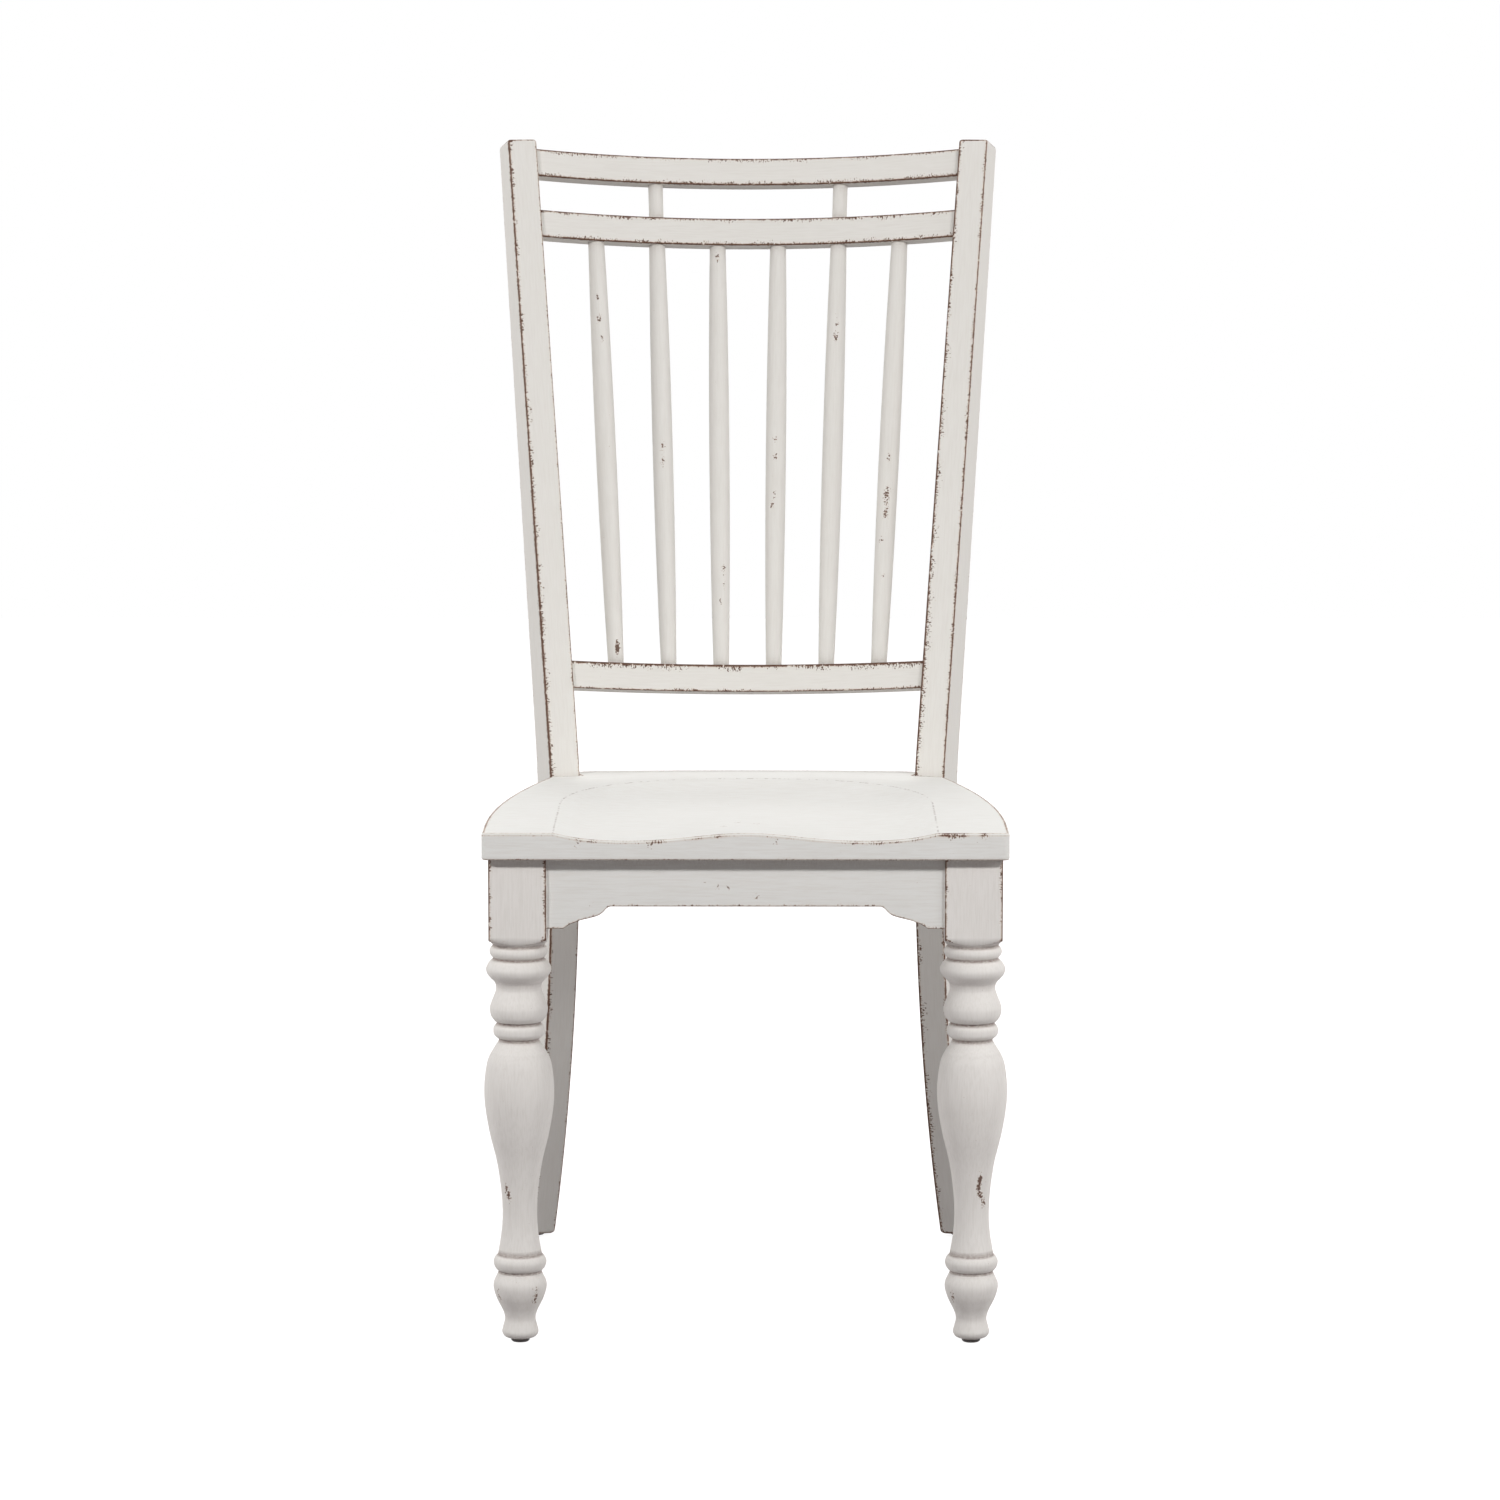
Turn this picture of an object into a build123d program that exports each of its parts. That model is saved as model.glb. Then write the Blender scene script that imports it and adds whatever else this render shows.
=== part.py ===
from build123d import *
import os
from math import cos, exp, hypot, radians, sin, sqrt, tan

# Dining chair in painted hardwood: turned front legs, a bowed back with six turned spindles between
# two square posts, and a scooped saddle seat on a frame of aprons.
# Frame: origin on the floor at the middle of the footprint, Z up. The sitter faces -Y and +X is the
# right side as seen from the front. While it is built, y is measured from the axes of the front legs.
# Sizes are in millimetres and angles in degrees.

# Overall sizes
total_height = 1096
seat_height = 481
seat_width = 482
seat_rear = 400
leg_inset = 32
post_gap = 326
post_setback = 359.5

# Rear posts: each stands in its own upright plane, turned outward
post_turn_angle = 16.9
back_lean_angle = 14.4
post_width = 30
post_top_width = 29
post_foot_width = 27
post_depth = 52
post_top_depth = 36.5
post_foot_depth = 42
foot_sweep = 105
post_bend_share = 0.9
post_ease = 2
flat_share = 0.99
post_foot_rounding = 5

# Rails of the back: a height is that of the top front corner where a rail meets a post
top_rail_drop = 9
rail_gap = 59.4
lower_rail_rise = 110.6
rail_radius = 514
rail_depth = 27
rail_thickness = 22
rail_setback = 4
rail_ease = 1.5
rail_tenon_thickness = 10
rail_tenon_depth = 16
rail_tenon_length = 16

# Spindles on each side of the middle: places of the feet as shares of the rail's half length, and how
# far out the heads stand as a share of that
inner_spindle_share = 0.151
long_spindle_share = 0.453
outer_spindle_share = 0.755
spindle_head_share = 0.978
spindle_bottom_diameter = 15.2
spindle_belly_diameter = 20
spindle_top_diameter = 15.6
spindle_tenon_diameter = 14.5
spindle_belly_share = 0.55
spindle_socket_depth = 12

# Seat
seat_thickness = 25
seat_widest_place = 53
seat_overhang = 12
seat_corner_radius = 5
seat_rear_corner_radius = 12
seat_ease = 2
seat_rear_bow = 9
scoop_width = 352
scoop_depth = 8.2
scoop_straight_length = 188
scoop_length = 377
scoop_roundness = 2.4
scoop_wall_power = 6
pommel_width = 65
pommel_length = 190
scoop_grid_steps = 24

# Front legs
leg_block_size = 53
leg_block_height = 77.5
leg_shoulder_drop = 3
leg_ease = 1.5
leg_largest_radius = 32.3

# Turned part of a front leg from the block down, as pairs of (share of the turned height, share of
# the largest radius): each row is a straight stretch or one smooth curve
leg_turning_shares = (
    ((1.000, 0.811), (0.993, 0.737)),
    ((0.990, 0.737), (0.984, 0.805), (0.976, 0.830), (0.968, 0.805), (0.960, 0.731)),
    ((0.957, 0.731), (0.949, 0.842), (0.934, 0.929), (0.920, 0.898), (0.907, 0.780)),
    ((0.905, 0.749), (0.897, 0.678), (0.886, 0.650), (0.874, 0.669), (0.843, 0.805), (0.829, 0.827),
     (0.813, 0.789), (0.801, 0.687)),
    ((0.800, 0.638), (0.795, 0.632)),
    ((0.793, 0.656), (0.786, 0.718), (0.777, 0.734), (0.767, 0.712), (0.758, 0.607)),
    ((0.757, 0.579), (0.751, 0.573)),
    ((0.750, 0.594), (0.711, 0.858), (0.676, 0.957), (0.630, 1.000), (0.582, 0.972), (0.517, 0.845),
     (0.448, 0.653), (0.380, 0.536), (0.319, 0.494), (0.270, 0.523), (0.220, 0.616)),
    ((0.219, 0.628), (0.209, 0.718), (0.195, 0.759), (0.181, 0.724), (0.173, 0.650)),
    ((0.172, 0.619), (0.166, 0.619)),
    ((0.165, 0.638), (0.137, 0.765), (0.105, 0.690), (0.071, 0.502), (0.050, 0.440), (0.031, 0.486),
     (0.016, 0.523), (0.005, 0.458), (0.000, 0.325)),
)

# Aprons and corner blocks
apron_thickness = 20
apron_depth = 45
apron_setback = 4
side_apron_setback = 6
side_apron_rear_place = 17
rear_apron_place = 21
apron_tenon_thickness = 9
apron_tenon_length = 14
apron_tenon_shoulder = 5
bracket_length = 58.6
bracket_drop = 20.5
# Underside of the bracket, from the toe beside the leg to the straight part, as pairs of
# (share of the bracket's length, share of its drop)
bracket_shares = ((0.263, 0), (0.374, 0.205), (0.457, 0.288), (0.520, 0.366), (0.765, 0.546),
                  (0.865, 0.688), (0.944, 0.917), (1, 1))
block_width = 24
block_depth = 22
block_standoff = 6

# Hardware
screw_diameter = 4
screw_head_diameter = 8
block_screw_length = 30
block_screw_inset = 16
seat_screw_length = 36
glide_diameter = 17
glide_thickness = 3.5
nail_diameter = 2.4
nail_length = 16

# Fits and cuts
glue_gap = 0.15
screw_gap = 0.1
overrun = 10

# Places worked out from the sizes above
seat_underside = seat_height - seat_thickness
top_rail_height = total_height - top_rail_drop
mid_rail_height = top_rail_height - rail_gap
lower_rail_height = seat_height + lower_rail_rise
leg_x = seat_width / 2 - leg_inset
block_half = leg_block_size / 2
seat_front = -block_half - seat_overhang
lean = radians(back_lean_angle)
turn = radians(post_turn_angle)
post_side = Vector(cos(turn), -sin(turn), 0)
post_back = Vector(sin(turn), cos(turn), 0)
lean_axis = Vector(0, sin(lean), cos(lean))
back_reach = (total_height - seat_height) * tan(lean) + post_depth
post_corner = Vector(post_gap / 2, post_setback, 0)
post_plane = Plane(origin=post_corner, x_dir=post_back, z_dir=post_side)
post_front_plane = Plane(origin=post_corner, x_dir=post_side, z_dir=-post_back)


def on_plane(plane, shape):
    """The shape moved from the working plane to another plane."""
    return plane.location * shape


def both_sides(shape):
    """A right-hand piece and its left-hand mirror image."""
    return {"right": shape, "left": mirror(shape, about=Plane.YZ)}


def zone_beyond(plane):
    """A large block on the positive side of a plane, to cut or trim with."""
    return on_plane(plane, extrude(Rectangle(total_height * 2, total_height * 2), amount=total_height))


def post_point(height):
    """A place on the front inner edge of the right post."""
    set_back = (height - seat_height) * tan(lean)
    return post_corner + post_back * set_back + Vector(0, 0, height)


def rail_plane(height):
    """The plane of a rail's top face: x to the right, y to the back, square to the back's lean."""
    return Plane(origin=(0, post_point(height).Y, height), x_dir=(1, 0, 0), z_dir=lean_axis)


def arc_depth(height, radius, x):
    """How far back an arc struck from a rail's centre lies, at a distance x from the middle."""
    half_length = post_point(height).X
    centre = rail_setback - sqrt(rail_radius**2 - half_length**2)
    return centre + sqrt(radius**2 - x**2)


def rail_point(height, share, drop):
    """A place on the middle line of a rail, so far below its top face."""
    x = post_point(height).X * share
    y = arc_depth(height, rail_radius + rail_thickness / 2, x)
    return rail_plane(height).from_local_coords((x, y, -drop))


def side_arrises(post):
    """The long corners of a post and the corners of its top, without the seam where its taper turns."""
    sides = [face for face in post.faces() if abs(face.normal_at().dot(post_side)) > flat_share]
    edges = [edge for face in sides for edge in face.edges()]
    outline = [edge for edge in edges if sum(edge.is_same(other) for other in edges) == 1]
    top = post.faces().sort_by(Axis.Z)[-1].edges()
    return outline + [edge for edge in top if not any(edge.is_same(other) for other in outline)]


def make_post():
    """The right rear post, sawn to its side outline and then tapered across."""
    tip = (back_reach - post_depth, total_height)
    tip_back = (tip[0] + post_top_depth * cos(lean), tip[1] - post_top_depth * sin(lean))
    bend_radius = seat_thickness * post_bend_share / tan(lean / 2)
    front = FilletPolyline((0, seat_underside), (0, seat_height), tip, radius=bend_radius)
    back = FilletPolyline((post_depth, seat_underside), (post_depth, seat_height), tip_back,
                          radius=bend_radius)
    toe = (foot_sweep, glide_thickness)
    heel = (foot_sweep + post_foot_depth, glide_thickness)
    front_sweep = TangentArc((0, seat_underside), toe, tangent=(0, -1))
    back_sweep = TangentArc((post_depth, seat_underside), heel, tangent=(0, -1))
    outline = Curve() + [front, Line(tip, tip_back), back, back_sweep, Line(heel, toe), front_sweep]
    sawn = extrude(make_face(outline), amount=post_width)
    taper = Polyline((0, glide_thickness), (post_foot_width, glide_thickness), (post_width, seat_height),
                     (post_top_width, total_height), (0, total_height), close=True)
    tapered = extrude(make_face(taper), amount=-back_reach - overrun)
    post = on_plane(post_plane, sawn) & on_plane(post_front_plane, tapered)
    post = fillet(post.edges().group_by(Axis.Z)[0], post_foot_rounding)
    return fillet(side_arrises(post), post_ease)


def rail_tenon(height, slack):
    """The right-hand tenon of a rail, or with some slack the mortise for it."""
    middle = rail_plane(height).from_local_coords(
        (post_point(height).X, arc_depth(height, rail_radius + rail_thickness / 2, post_point(height).X),
         -rail_depth / 2))
    place = post_plane.to_local_coords(middle)
    root = rail_thickness / 4
    blank = Box(rail_tenon_thickness + slack * 2, rail_tenon_depth + slack * 2,
                root + rail_tenon_length + slack, align=(Align.CENTER, Align.CENTER, Align.MIN))
    return on_plane(post_plane, Pos(place.X, place.Y, -root) * Rot(0, 0, -back_lean_angle) * blank)


def make_rail(height):
    """A bowed rail with a tenon on each end, shouldered against the posts."""
    end = post_point(height).X + post_width
    outer_radius = rail_radius + rail_thickness
    near_end = arc_depth(height, rail_radius, end)
    far_end = arc_depth(height, outer_radius, end)
    near = ThreePointArc((-end, near_end), (0, arc_depth(height, rail_radius, 0)), (end, near_end))
    far = ThreePointArc((-end, far_end), (0, arc_depth(height, outer_radius, 0)), (end, far_end))
    face = make_face(Curve() + [near, Line(near @ 1, far @ 1), far, Line(far @ 0, near @ 0)])
    rail = on_plane(rail_plane(height), extrude(face, amount=-rail_depth))
    rail = fillet(rail.edges().filter_by(GeomType.CIRCLE), rail_ease)
    for side in both_sides(zone_beyond(post_plane)).values():
        rail -= side
    for tenon in both_sides(rail_tenon(height, 0)).values():
        rail += tenon
    return rail


def spindle_axis(share):
    """The plane at a spindle's foot with its z along the spindle, and its length between two rails."""
    foot = rail_point(lower_rail_height, share, 0)
    head = rail_point(mid_rail_height, share * spindle_head_share, rail_depth)
    along = (head - foot).normalized()
    return Plane(origin=foot, x_dir=(1, 0, 0), z_dir=along), (head - foot).length


def spindle_reach(share):
    """How far above its foot a spindle ends, inside the mid rail or the top rail."""
    plane, length = spindle_axis(share)
    if share == long_spindle_share:
        gap = rail_point(top_rail_height, share, rail_depth) - plane.origin
        length = gap.dot(lean_axis) / plane.z_dir.dot(lean_axis)
    return length + spindle_socket_depth


def spindle_pin(share, slack):
    """The plain round core of a spindle, or with some slack the holes for it."""
    plane, _ = spindle_axis(share)
    reach = spindle_reach(share) + spindle_socket_depth + slack * 2
    base = (Align.CENTER, Align.CENTER, Align.MIN)
    core = Cylinder(spindle_tenon_diameter / 2 + slack, reach, align=base)
    return on_plane(plane, Pos(0, 0, -spindle_socket_depth - slack) * core)


def make_spindle(share):
    """A turned spindle with a gentle belly, shouldered flat against the rails."""
    plane, length = spindle_axis(share)
    bottom = (spindle_bottom_diameter / 2, -overrun)
    belly = (spindle_belly_diameter / 2, length * spindle_belly_share)
    top = (spindle_top_diameter / 2, length + overrun)
    outline = Curve() + [Spline(bottom, belly, top), Polyline(top, (0, top[1]), (0, -overrun), bottom)]
    turned = on_plane(plane, revolve(Plane.XZ * make_face(outline), Axis.Z))
    turned = split(turned, bisect_by=rail_plane(lower_rail_height), keep=Keep.TOP)
    turned = split(turned, bisect_by=rail_plane(mid_rail_height).offset(-rail_depth), keep=Keep.BOTTOM)
    return turned + spindle_pin(share, 0)


def scoop_height(x, y):
    """Height of the scooped seat surface: a dished hollow, open at the front, with a raised middle."""
    across = abs(x) / (scoop_width / 2)
    along = max(y - seat_front - scoop_straight_length, 0) / (scoop_length - scoop_straight_length)
    out = (across**scoop_roundness + along**scoop_roundness) ** (1 / scoop_roundness)
    fall = 1 - out**scoop_wall_power if out < 1 else scoop_wall_power * (1 - out)
    fade = min(max((y - seat_front) / pommel_length, 0), 1)
    pommel = (1 - fade * fade * (3 - 2 * fade)) * exp(-((x / pommel_width) ** 2))
    return seat_height - scoop_depth * fall * (1 - pommel)


def make_scoop():
    """The block that the scooped surface is cut with."""
    half = seat_width / 2 + overrun
    first = seat_front - overrun
    last = seat_rear + overrun
    rows = []
    for row in range(scoop_grid_steps + 1):
        y = first + (last - first) * row / scoop_grid_steps
        places = [half * (2 * column / scoop_grid_steps - 1) for column in range(scoop_grid_steps + 1)]
        rows.append([(x, y, scoop_height(x, y)) for x in places])
    surface = Face.make_surface_from_array_of_points(rows)
    return extrude(surface, amount=seat_thickness * 3, dir=(0, 0, 1))


def seat_outline():
    """Plan of the seat: straight front, bowed sides and rear, and notches for the posts."""
    half = seat_width / 2
    widest = (half, seat_front + seat_widest_place)
    outer = post_corner + post_side * post_width - post_back * glue_gap
    inner = post_corner - post_side * glue_gap - post_back * glue_gap
    horn = inner + post_back * ((seat_rear - seat_rear_bow - inner.Y) / cos(turn))
    side = TangentArc(widest, (outer.X, outer.Y), tangent=(0, 1))
    right = Curve() + [
        FilletPolyline((0, seat_front), (half, seat_front), widest, radius=seat_corner_radius),
        side,
        Line(side @ 1, (inner.X, inner.Y)),
        Line((inner.X, inner.Y), (horn.X, horn.Y)),
    ]
    rear = ThreePointArc((horn.X, horn.Y), (0, seat_rear), (-horn.X, horn.Y))
    return make_face(right + mirror(right, about=Plane.YZ) + rear)


def make_seat():
    """The saddle seat, eased along its edges before the scoop is cut."""
    slab = Pos(0, 0, seat_underside) * extrude(seat_outline(), amount=seat_thickness)
    rear_corners = slab.edges().filter_by(Axis.Z).sort_by(Axis.Y)[-2:]
    slab = fillet(rear_corners, seat_rear_corner_radius)
    slab = fillet(slab.edges().group_by(Axis.Z)[-1], seat_ease)
    slab = chamfer(slab.edges().group_by(Axis.Z)[0], seat_ease)
    return slab - make_scoop()


def leg_profile():
    """Half outline of the turned part of a front leg, up into its square block."""
    turned_height = seat_underside - leg_block_height - leg_shoulder_drop - glide_thickness
    corner = hypot(block_half, block_half)
    shoulder = seat_underside - leg_block_height
    curves = [[(radius * leg_largest_radius, glide_thickness + height * turned_height)
               for height, radius in row] for row in leg_turning_shares]
    edges = [Line((0, seat_underside), (corner, seat_underside)),
             Line((corner, seat_underside), (corner, shoulder)),
             Line((corner, shoulder), curves[0][0])]
    for points, following in zip(curves, curves[1:] + [[(0, glide_thickness)]]):
        edges.append(Spline(*points) if len(points) > 2 else Line(*points))
        edges.append(Line(points[-1], following[0]))
    edges.append(Line((0, glide_thickness), (0, seat_underside)))
    return make_face(Curve() + edges)


def make_leg():
    """The right front leg, turned below its square block."""
    turned = Pos(leg_x, 0, 0) * revolve(Plane.XZ * leg_profile(), Axis.Z)
    block_bottom = seat_underside - leg_block_height - leg_shoulder_drop
    blank = Box(leg_block_size, leg_block_size, seat_underside - block_bottom,
                align=(Align.CENTER, Align.CENTER, Align.MIN))
    blank = fillet(blank.edges().filter_by(Axis.Z), leg_ease)
    lathe_part = split(turned, bisect_by=Plane.XY.offset(block_bottom), keep=Keep.BOTTOM)
    return (turned & (Pos(leg_x, 0, block_bottom) * blank)) + lathe_part


def apron_core(plane, length, slack):
    """The tenons of an apron and the core between them, or with some slack their mortises."""
    reach = length + (apron_tenon_length + slack) * 2
    core = Box(reach, apron_tenon_thickness + slack * 2, apron_depth + (slack - apron_tenon_shoulder) * 2)
    return on_plane(plane, Pos(length / 2, 0, -apron_depth / 2) * core)


def front_apron_plane():
    """Middle of the front apron's top at its left shoulder, x along the apron."""
    y = -block_half + apron_setback + apron_thickness / 2
    return Plane(origin=(block_half - leg_x, y, seat_underside), x_dir=(1, 0, 0), z_dir=(0, 0, 1))


def side_apron_plane():
    """Middle of the right side apron's top at the leg, x along the apron, and the apron's length."""
    outer_face = leg_x + block_half - side_apron_setback
    start = Vector(outer_face - apron_thickness / 2, block_half, seat_underside)
    end = post_corner + post_side * side_apron_rear_place + Vector(0, 0, seat_underside)
    return Plane(origin=start, x_dir=(end - start).normalized(), z_dir=(0, 0, 1)), (end - start).length


def rear_apron_plane():
    """Middle of the rear apron's top at its left shoulder, x along the apron."""
    place = post_corner + post_back * rear_apron_place
    return Plane(origin=(-place.X, place.Y, seat_underside), x_dir=(1, 0, 0), z_dir=(0, 0, 1))


def inner_face(plane, outward):
    """The face of an apron on the side of the seat's middle, pointing out of the frame."""
    return Plane(origin=plane.origin - outward * (apron_thickness / 2), z_dir=outward)


def make_front_apron():
    """The front apron with an ogee bracket beside each leg."""
    plane = front_apron_plane()
    end = leg_x - block_half
    straight = seat_underside - apron_depth
    toe = straight - bracket_drop
    curve = [(end - along * bracket_length, toe + up * bracket_drop) for along, up in bracket_shares]
    half = Curve() + [
        Polyline((0, seat_underside), (end, seat_underside), (end, toe), curve[0]),
        Spline(*curve),
        Line(curve[-1], (0, straight)),
    ]
    board = make_face(half + mirror(half, about=Plane.YZ))
    back_plane = Plane.XZ.offset(-plane.origin.Y - apron_thickness / 2)
    return on_plane(back_plane, extrude(board, amount=apron_thickness)) + apron_core(plane, end * 2, 0)


def make_side_apron():
    """The right side apron, cut at a slant against the leg block and the post."""
    plane, length = side_apron_plane()
    board = Box(length + overrun * 4, apron_thickness, apron_depth)
    board = on_plane(plane, Pos(length / 2, 0, -apron_depth / 2) * board)
    board -= zone_beyond(Plane(origin=plane.origin, z_dir=(0, -1, 0)))
    board -= zone_beyond(Plane(origin=post_corner, z_dir=post_back))
    return board + apron_core(plane, length, 0)


def make_rear_apron():
    """The rear apron between the posts."""
    plane = rear_apron_plane()
    length = -plane.origin.X * 2
    board = Box(length + overrun * 2, apron_thickness, apron_depth)
    board = on_plane(plane, Pos(length / 2, 0, -apron_depth / 2) * board)
    for side in both_sides(zone_beyond(post_plane)).values():
        board -= side
    return board + apron_core(plane, length, 0)


def reach_to(point, direction, plane):
    """Distance from a point along a direction to a plane."""
    return (plane.origin - point).dot(plane.z_dir) / direction.dot(plane.z_dir)


def corner_layout(end):
    """Of the right front or rear corner: the block's plane and the two apron faces that it meets."""
    side_plane, _ = side_apron_plane()
    side_face = inner_face(side_plane, -side_plane.y_dir)
    if end == "front":
        corner = Vector(leg_x - block_half, block_half, seat_underside)
        outward = Vector(1, -1, 0).normalized()
        end_face = inner_face(front_apron_plane(), Vector(0, -1, 0))
    else:
        corner = post_corner + Vector(0, 0, seat_underside)
        outward = Vector(1, 1, 0).normalized()
        end_face = inner_face(rear_apron_plane(), Vector(0, 1, 0))
    middle = corner - outward * (block_standoff + block_width / 2)
    along = Vector(outward.Y, -outward.X, 0)
    return Plane(origin=middle, x_dir=along, z_dir=(0, 0, 1)), (side_face, end_face)


def make_screw(plane, length, slack):
    """A countersunk screw driven along a plane's z, or with some slack the hole for it."""
    radius = screw_diameter / 2
    head = screw_head_diameter / 2
    cone = head - radius
    base = (Align.CENTER, Align.CENTER, Align.MIN)
    screw = Cone(head + slack, radius + slack, cone, align=base)
    screw += Pos(0, 0, cone) * Cylinder(radius + slack, length - cone + slack, align=base)
    if slack:
        screw += Cylinder(head + slack, overrun, align=(Align.CENTER, Align.CENTER, Align.MAX))
    return on_plane(plane, screw)


def seat_screw_plane(end):
    """Where a seat screw enters the underside of a corner block."""
    plane, _ = corner_layout(end)
    return Plane(origin=plane.origin - Vector(0, 0, block_depth), z_dir=(0, 0, 1))


def block_screw_planes(end):
    """Where the two screws enter a corner block's open face, near its ends."""
    plane, faces = corner_layout(end)
    middle = plane.origin - plane.y_dir * (block_width / 2) - Vector(0, 0, block_depth / 2)
    planes = []
    for face in faces:
        along = plane.x_dir if reach_to(middle, plane.x_dir, face) > 0 else -plane.x_dir
        place = middle + along * (reach_to(middle, along, face) - block_screw_inset)
        planes.append(Plane(origin=place, z_dir=plane.y_dir))
    return planes


def make_corner_block(end):
    """A right-hand corner block, cut to fit between two aprons."""
    plane, faces = corner_layout(end)
    base = (Align.CENTER, Align.CENTER, Align.MAX)
    block = on_plane(plane, Box(seat_width, block_width, block_depth, align=base))
    for face in faces:
        block -= zone_beyond(face)
    return block


def foot_places():
    """The middles of the right front and right rear feet on the floor."""
    rear = post_corner + post_side * (post_foot_width / 2) + post_back * (foot_sweep + post_foot_depth / 2)
    return {"front": Vector(leg_x, 0, 0), "rear": rear}


def make_nail(place, slack):
    """The nail of a glide, or with some slack the hole for it."""
    base = (Align.CENTER, Align.CENTER, Align.MIN)
    nail = Cylinder(nail_diameter / 2 + slack, nail_length + slack, align=base)
    return Pos(place.X, place.Y, glide_thickness) * nail


def make_glide(place):
    """A nail-on glide with a rounded rim."""
    pad = Cylinder(glide_diameter / 2, glide_thickness, align=(Align.CENTER, Align.CENTER, Align.MIN))
    pad = chamfer(pad.edges().group_by(Axis.Z)[0], glide_thickness / 3)
    return Pos(place.X, place.Y, 0) * pad + make_nail(place, 0)


def make_chair():
    """Every piece of the chair by name, with its mortises, sockets and screw holes cut."""
    ends = ("front", "rear")
    feet = foot_places()
    side_plane, side_length = side_apron_plane()
    side_mortise = apron_core(side_plane, side_length, glue_gap)
    rail_heights = {"lower_rail": lower_rail_height, "mid_rail": mid_rail_height,
                    "top_rail": top_rail_height}

    right = {"rear_post": make_post(), "front_leg": make_leg(), "side_apron": make_side_apron()}
    for height in rail_heights.values():
        right["rear_post"] -= rail_tenon(height, glue_gap)
    right["rear_post"] -= side_mortise
    right["rear_post"] -= apron_core(rear_apron_plane(), -rear_apron_plane().origin.X * 2, glue_gap)
    right["rear_post"] -= make_nail(feet["rear"], screw_gap)
    right["front_leg"] -= side_mortise
    right["front_leg"] -= apron_core(front_apron_plane(), (leg_x - block_half) * 2, glue_gap)
    right["front_leg"] -= make_nail(feet["front"], screw_gap)

    middle = {"seat": make_seat(), "front_apron": make_front_apron(), "rear_apron": make_rear_apron()}
    screws = {"corner_block_screws": [], "seat_screws": []}
    for end in ends:
        block = make_corner_block(end)
        seat_screw = seat_screw_plane(end)
        block -= make_screw(seat_screw, seat_screw_length, screw_gap)
        for hole in both_sides(make_screw(seat_screw, seat_screw_length, screw_gap)).values():
            middle["seat"] -= hole
        screws["seat_screws"] += both_sides(make_screw(seat_screw, seat_screw_length, 0)).values()
        for plane in block_screw_planes(end):
            hole = make_screw(plane, block_screw_length, screw_gap)
            block -= hole
            right["side_apron"] -= hole
            for cut in both_sides(hole).values():
                middle[end + "_apron"] -= cut
            screws["corner_block_screws"] += both_sides(make_screw(plane, block_screw_length, 0)).values()
        right["corner_block_" + end] = block
        right["foot_glide_" + end] = make_glide(feet[end])

    for name, height in rail_heights.items():
        middle[name] = make_rail(height)
    left_number, right_number = 3, 4
    for share in (inner_spindle_share, long_spindle_share, outer_spindle_share):
        pair = both_sides(make_spindle(share))
        middle["spindle_" + str(left_number)] = pair["left"]
        middle["spindle_" + str(right_number)] = pair["right"]
        left_number -= 1
        right_number += 1
        for hole in both_sides(spindle_pin(share, glue_gap)).values():
            for name in rail_heights:
                middle[name] -= hole

    pieces = dict(middle)
    for name, piece in right.items():
        for side, copy in both_sides(piece).items():
            pieces[name + "_" + side] = copy
    for name, group in screws.items():
        pieces[name] = Compound(group)
    return pieces


if __name__ == "__main__":
    os.makedirs("parts", exist_ok=True)
    chair = make_chair()
    box = Compound(list(chair.values())).bounding_box()
    to_middle = Pos(0, -(box.min.Y + box.max.Y) / 2, 0)
    for name, piece in chair.items():
        export_step(to_middle * piece, "parts/" + name + ".step")
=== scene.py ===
from math import atan2, cos, exp, hypot, pi, radians, sin, sqrt, tan

import bpy
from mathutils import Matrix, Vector
from mathutils.geometry import delaunay_2d_cdt


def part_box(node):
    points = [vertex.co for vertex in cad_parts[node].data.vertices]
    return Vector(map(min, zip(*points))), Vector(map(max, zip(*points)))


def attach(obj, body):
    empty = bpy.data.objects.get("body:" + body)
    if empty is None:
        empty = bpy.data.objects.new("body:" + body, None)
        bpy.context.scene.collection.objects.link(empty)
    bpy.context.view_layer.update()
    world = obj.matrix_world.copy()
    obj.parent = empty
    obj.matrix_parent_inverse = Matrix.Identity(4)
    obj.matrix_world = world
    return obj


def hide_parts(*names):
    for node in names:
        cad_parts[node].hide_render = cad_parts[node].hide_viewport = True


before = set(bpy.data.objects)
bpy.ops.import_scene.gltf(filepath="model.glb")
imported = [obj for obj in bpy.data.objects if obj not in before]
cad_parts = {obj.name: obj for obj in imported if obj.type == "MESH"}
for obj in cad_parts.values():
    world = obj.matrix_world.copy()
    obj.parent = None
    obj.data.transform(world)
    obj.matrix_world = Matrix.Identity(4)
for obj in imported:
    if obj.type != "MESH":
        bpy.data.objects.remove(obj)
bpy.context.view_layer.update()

# Dining chair in worn antique white paint: turned front legs, a bowed spindle back and a saddle seat.
# Frame: metres, origin on the floor at the middle of the footprint, Z up, the sitter faces -Y. While a
# piece is made, y is measured from the axes of the front legs, as in the part's own source.

leg_low, leg_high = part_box("front_leg_right")
leg_axis_y = (leg_low[1] + leg_high[1]) / 2

# Overall sizes
total_height = 1.096
seat_height = 0.481
seat_width = 0.482
seat_rear = 0.400
leg_inset = 0.032
post_gap = 0.326
post_setback = 0.3595

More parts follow.
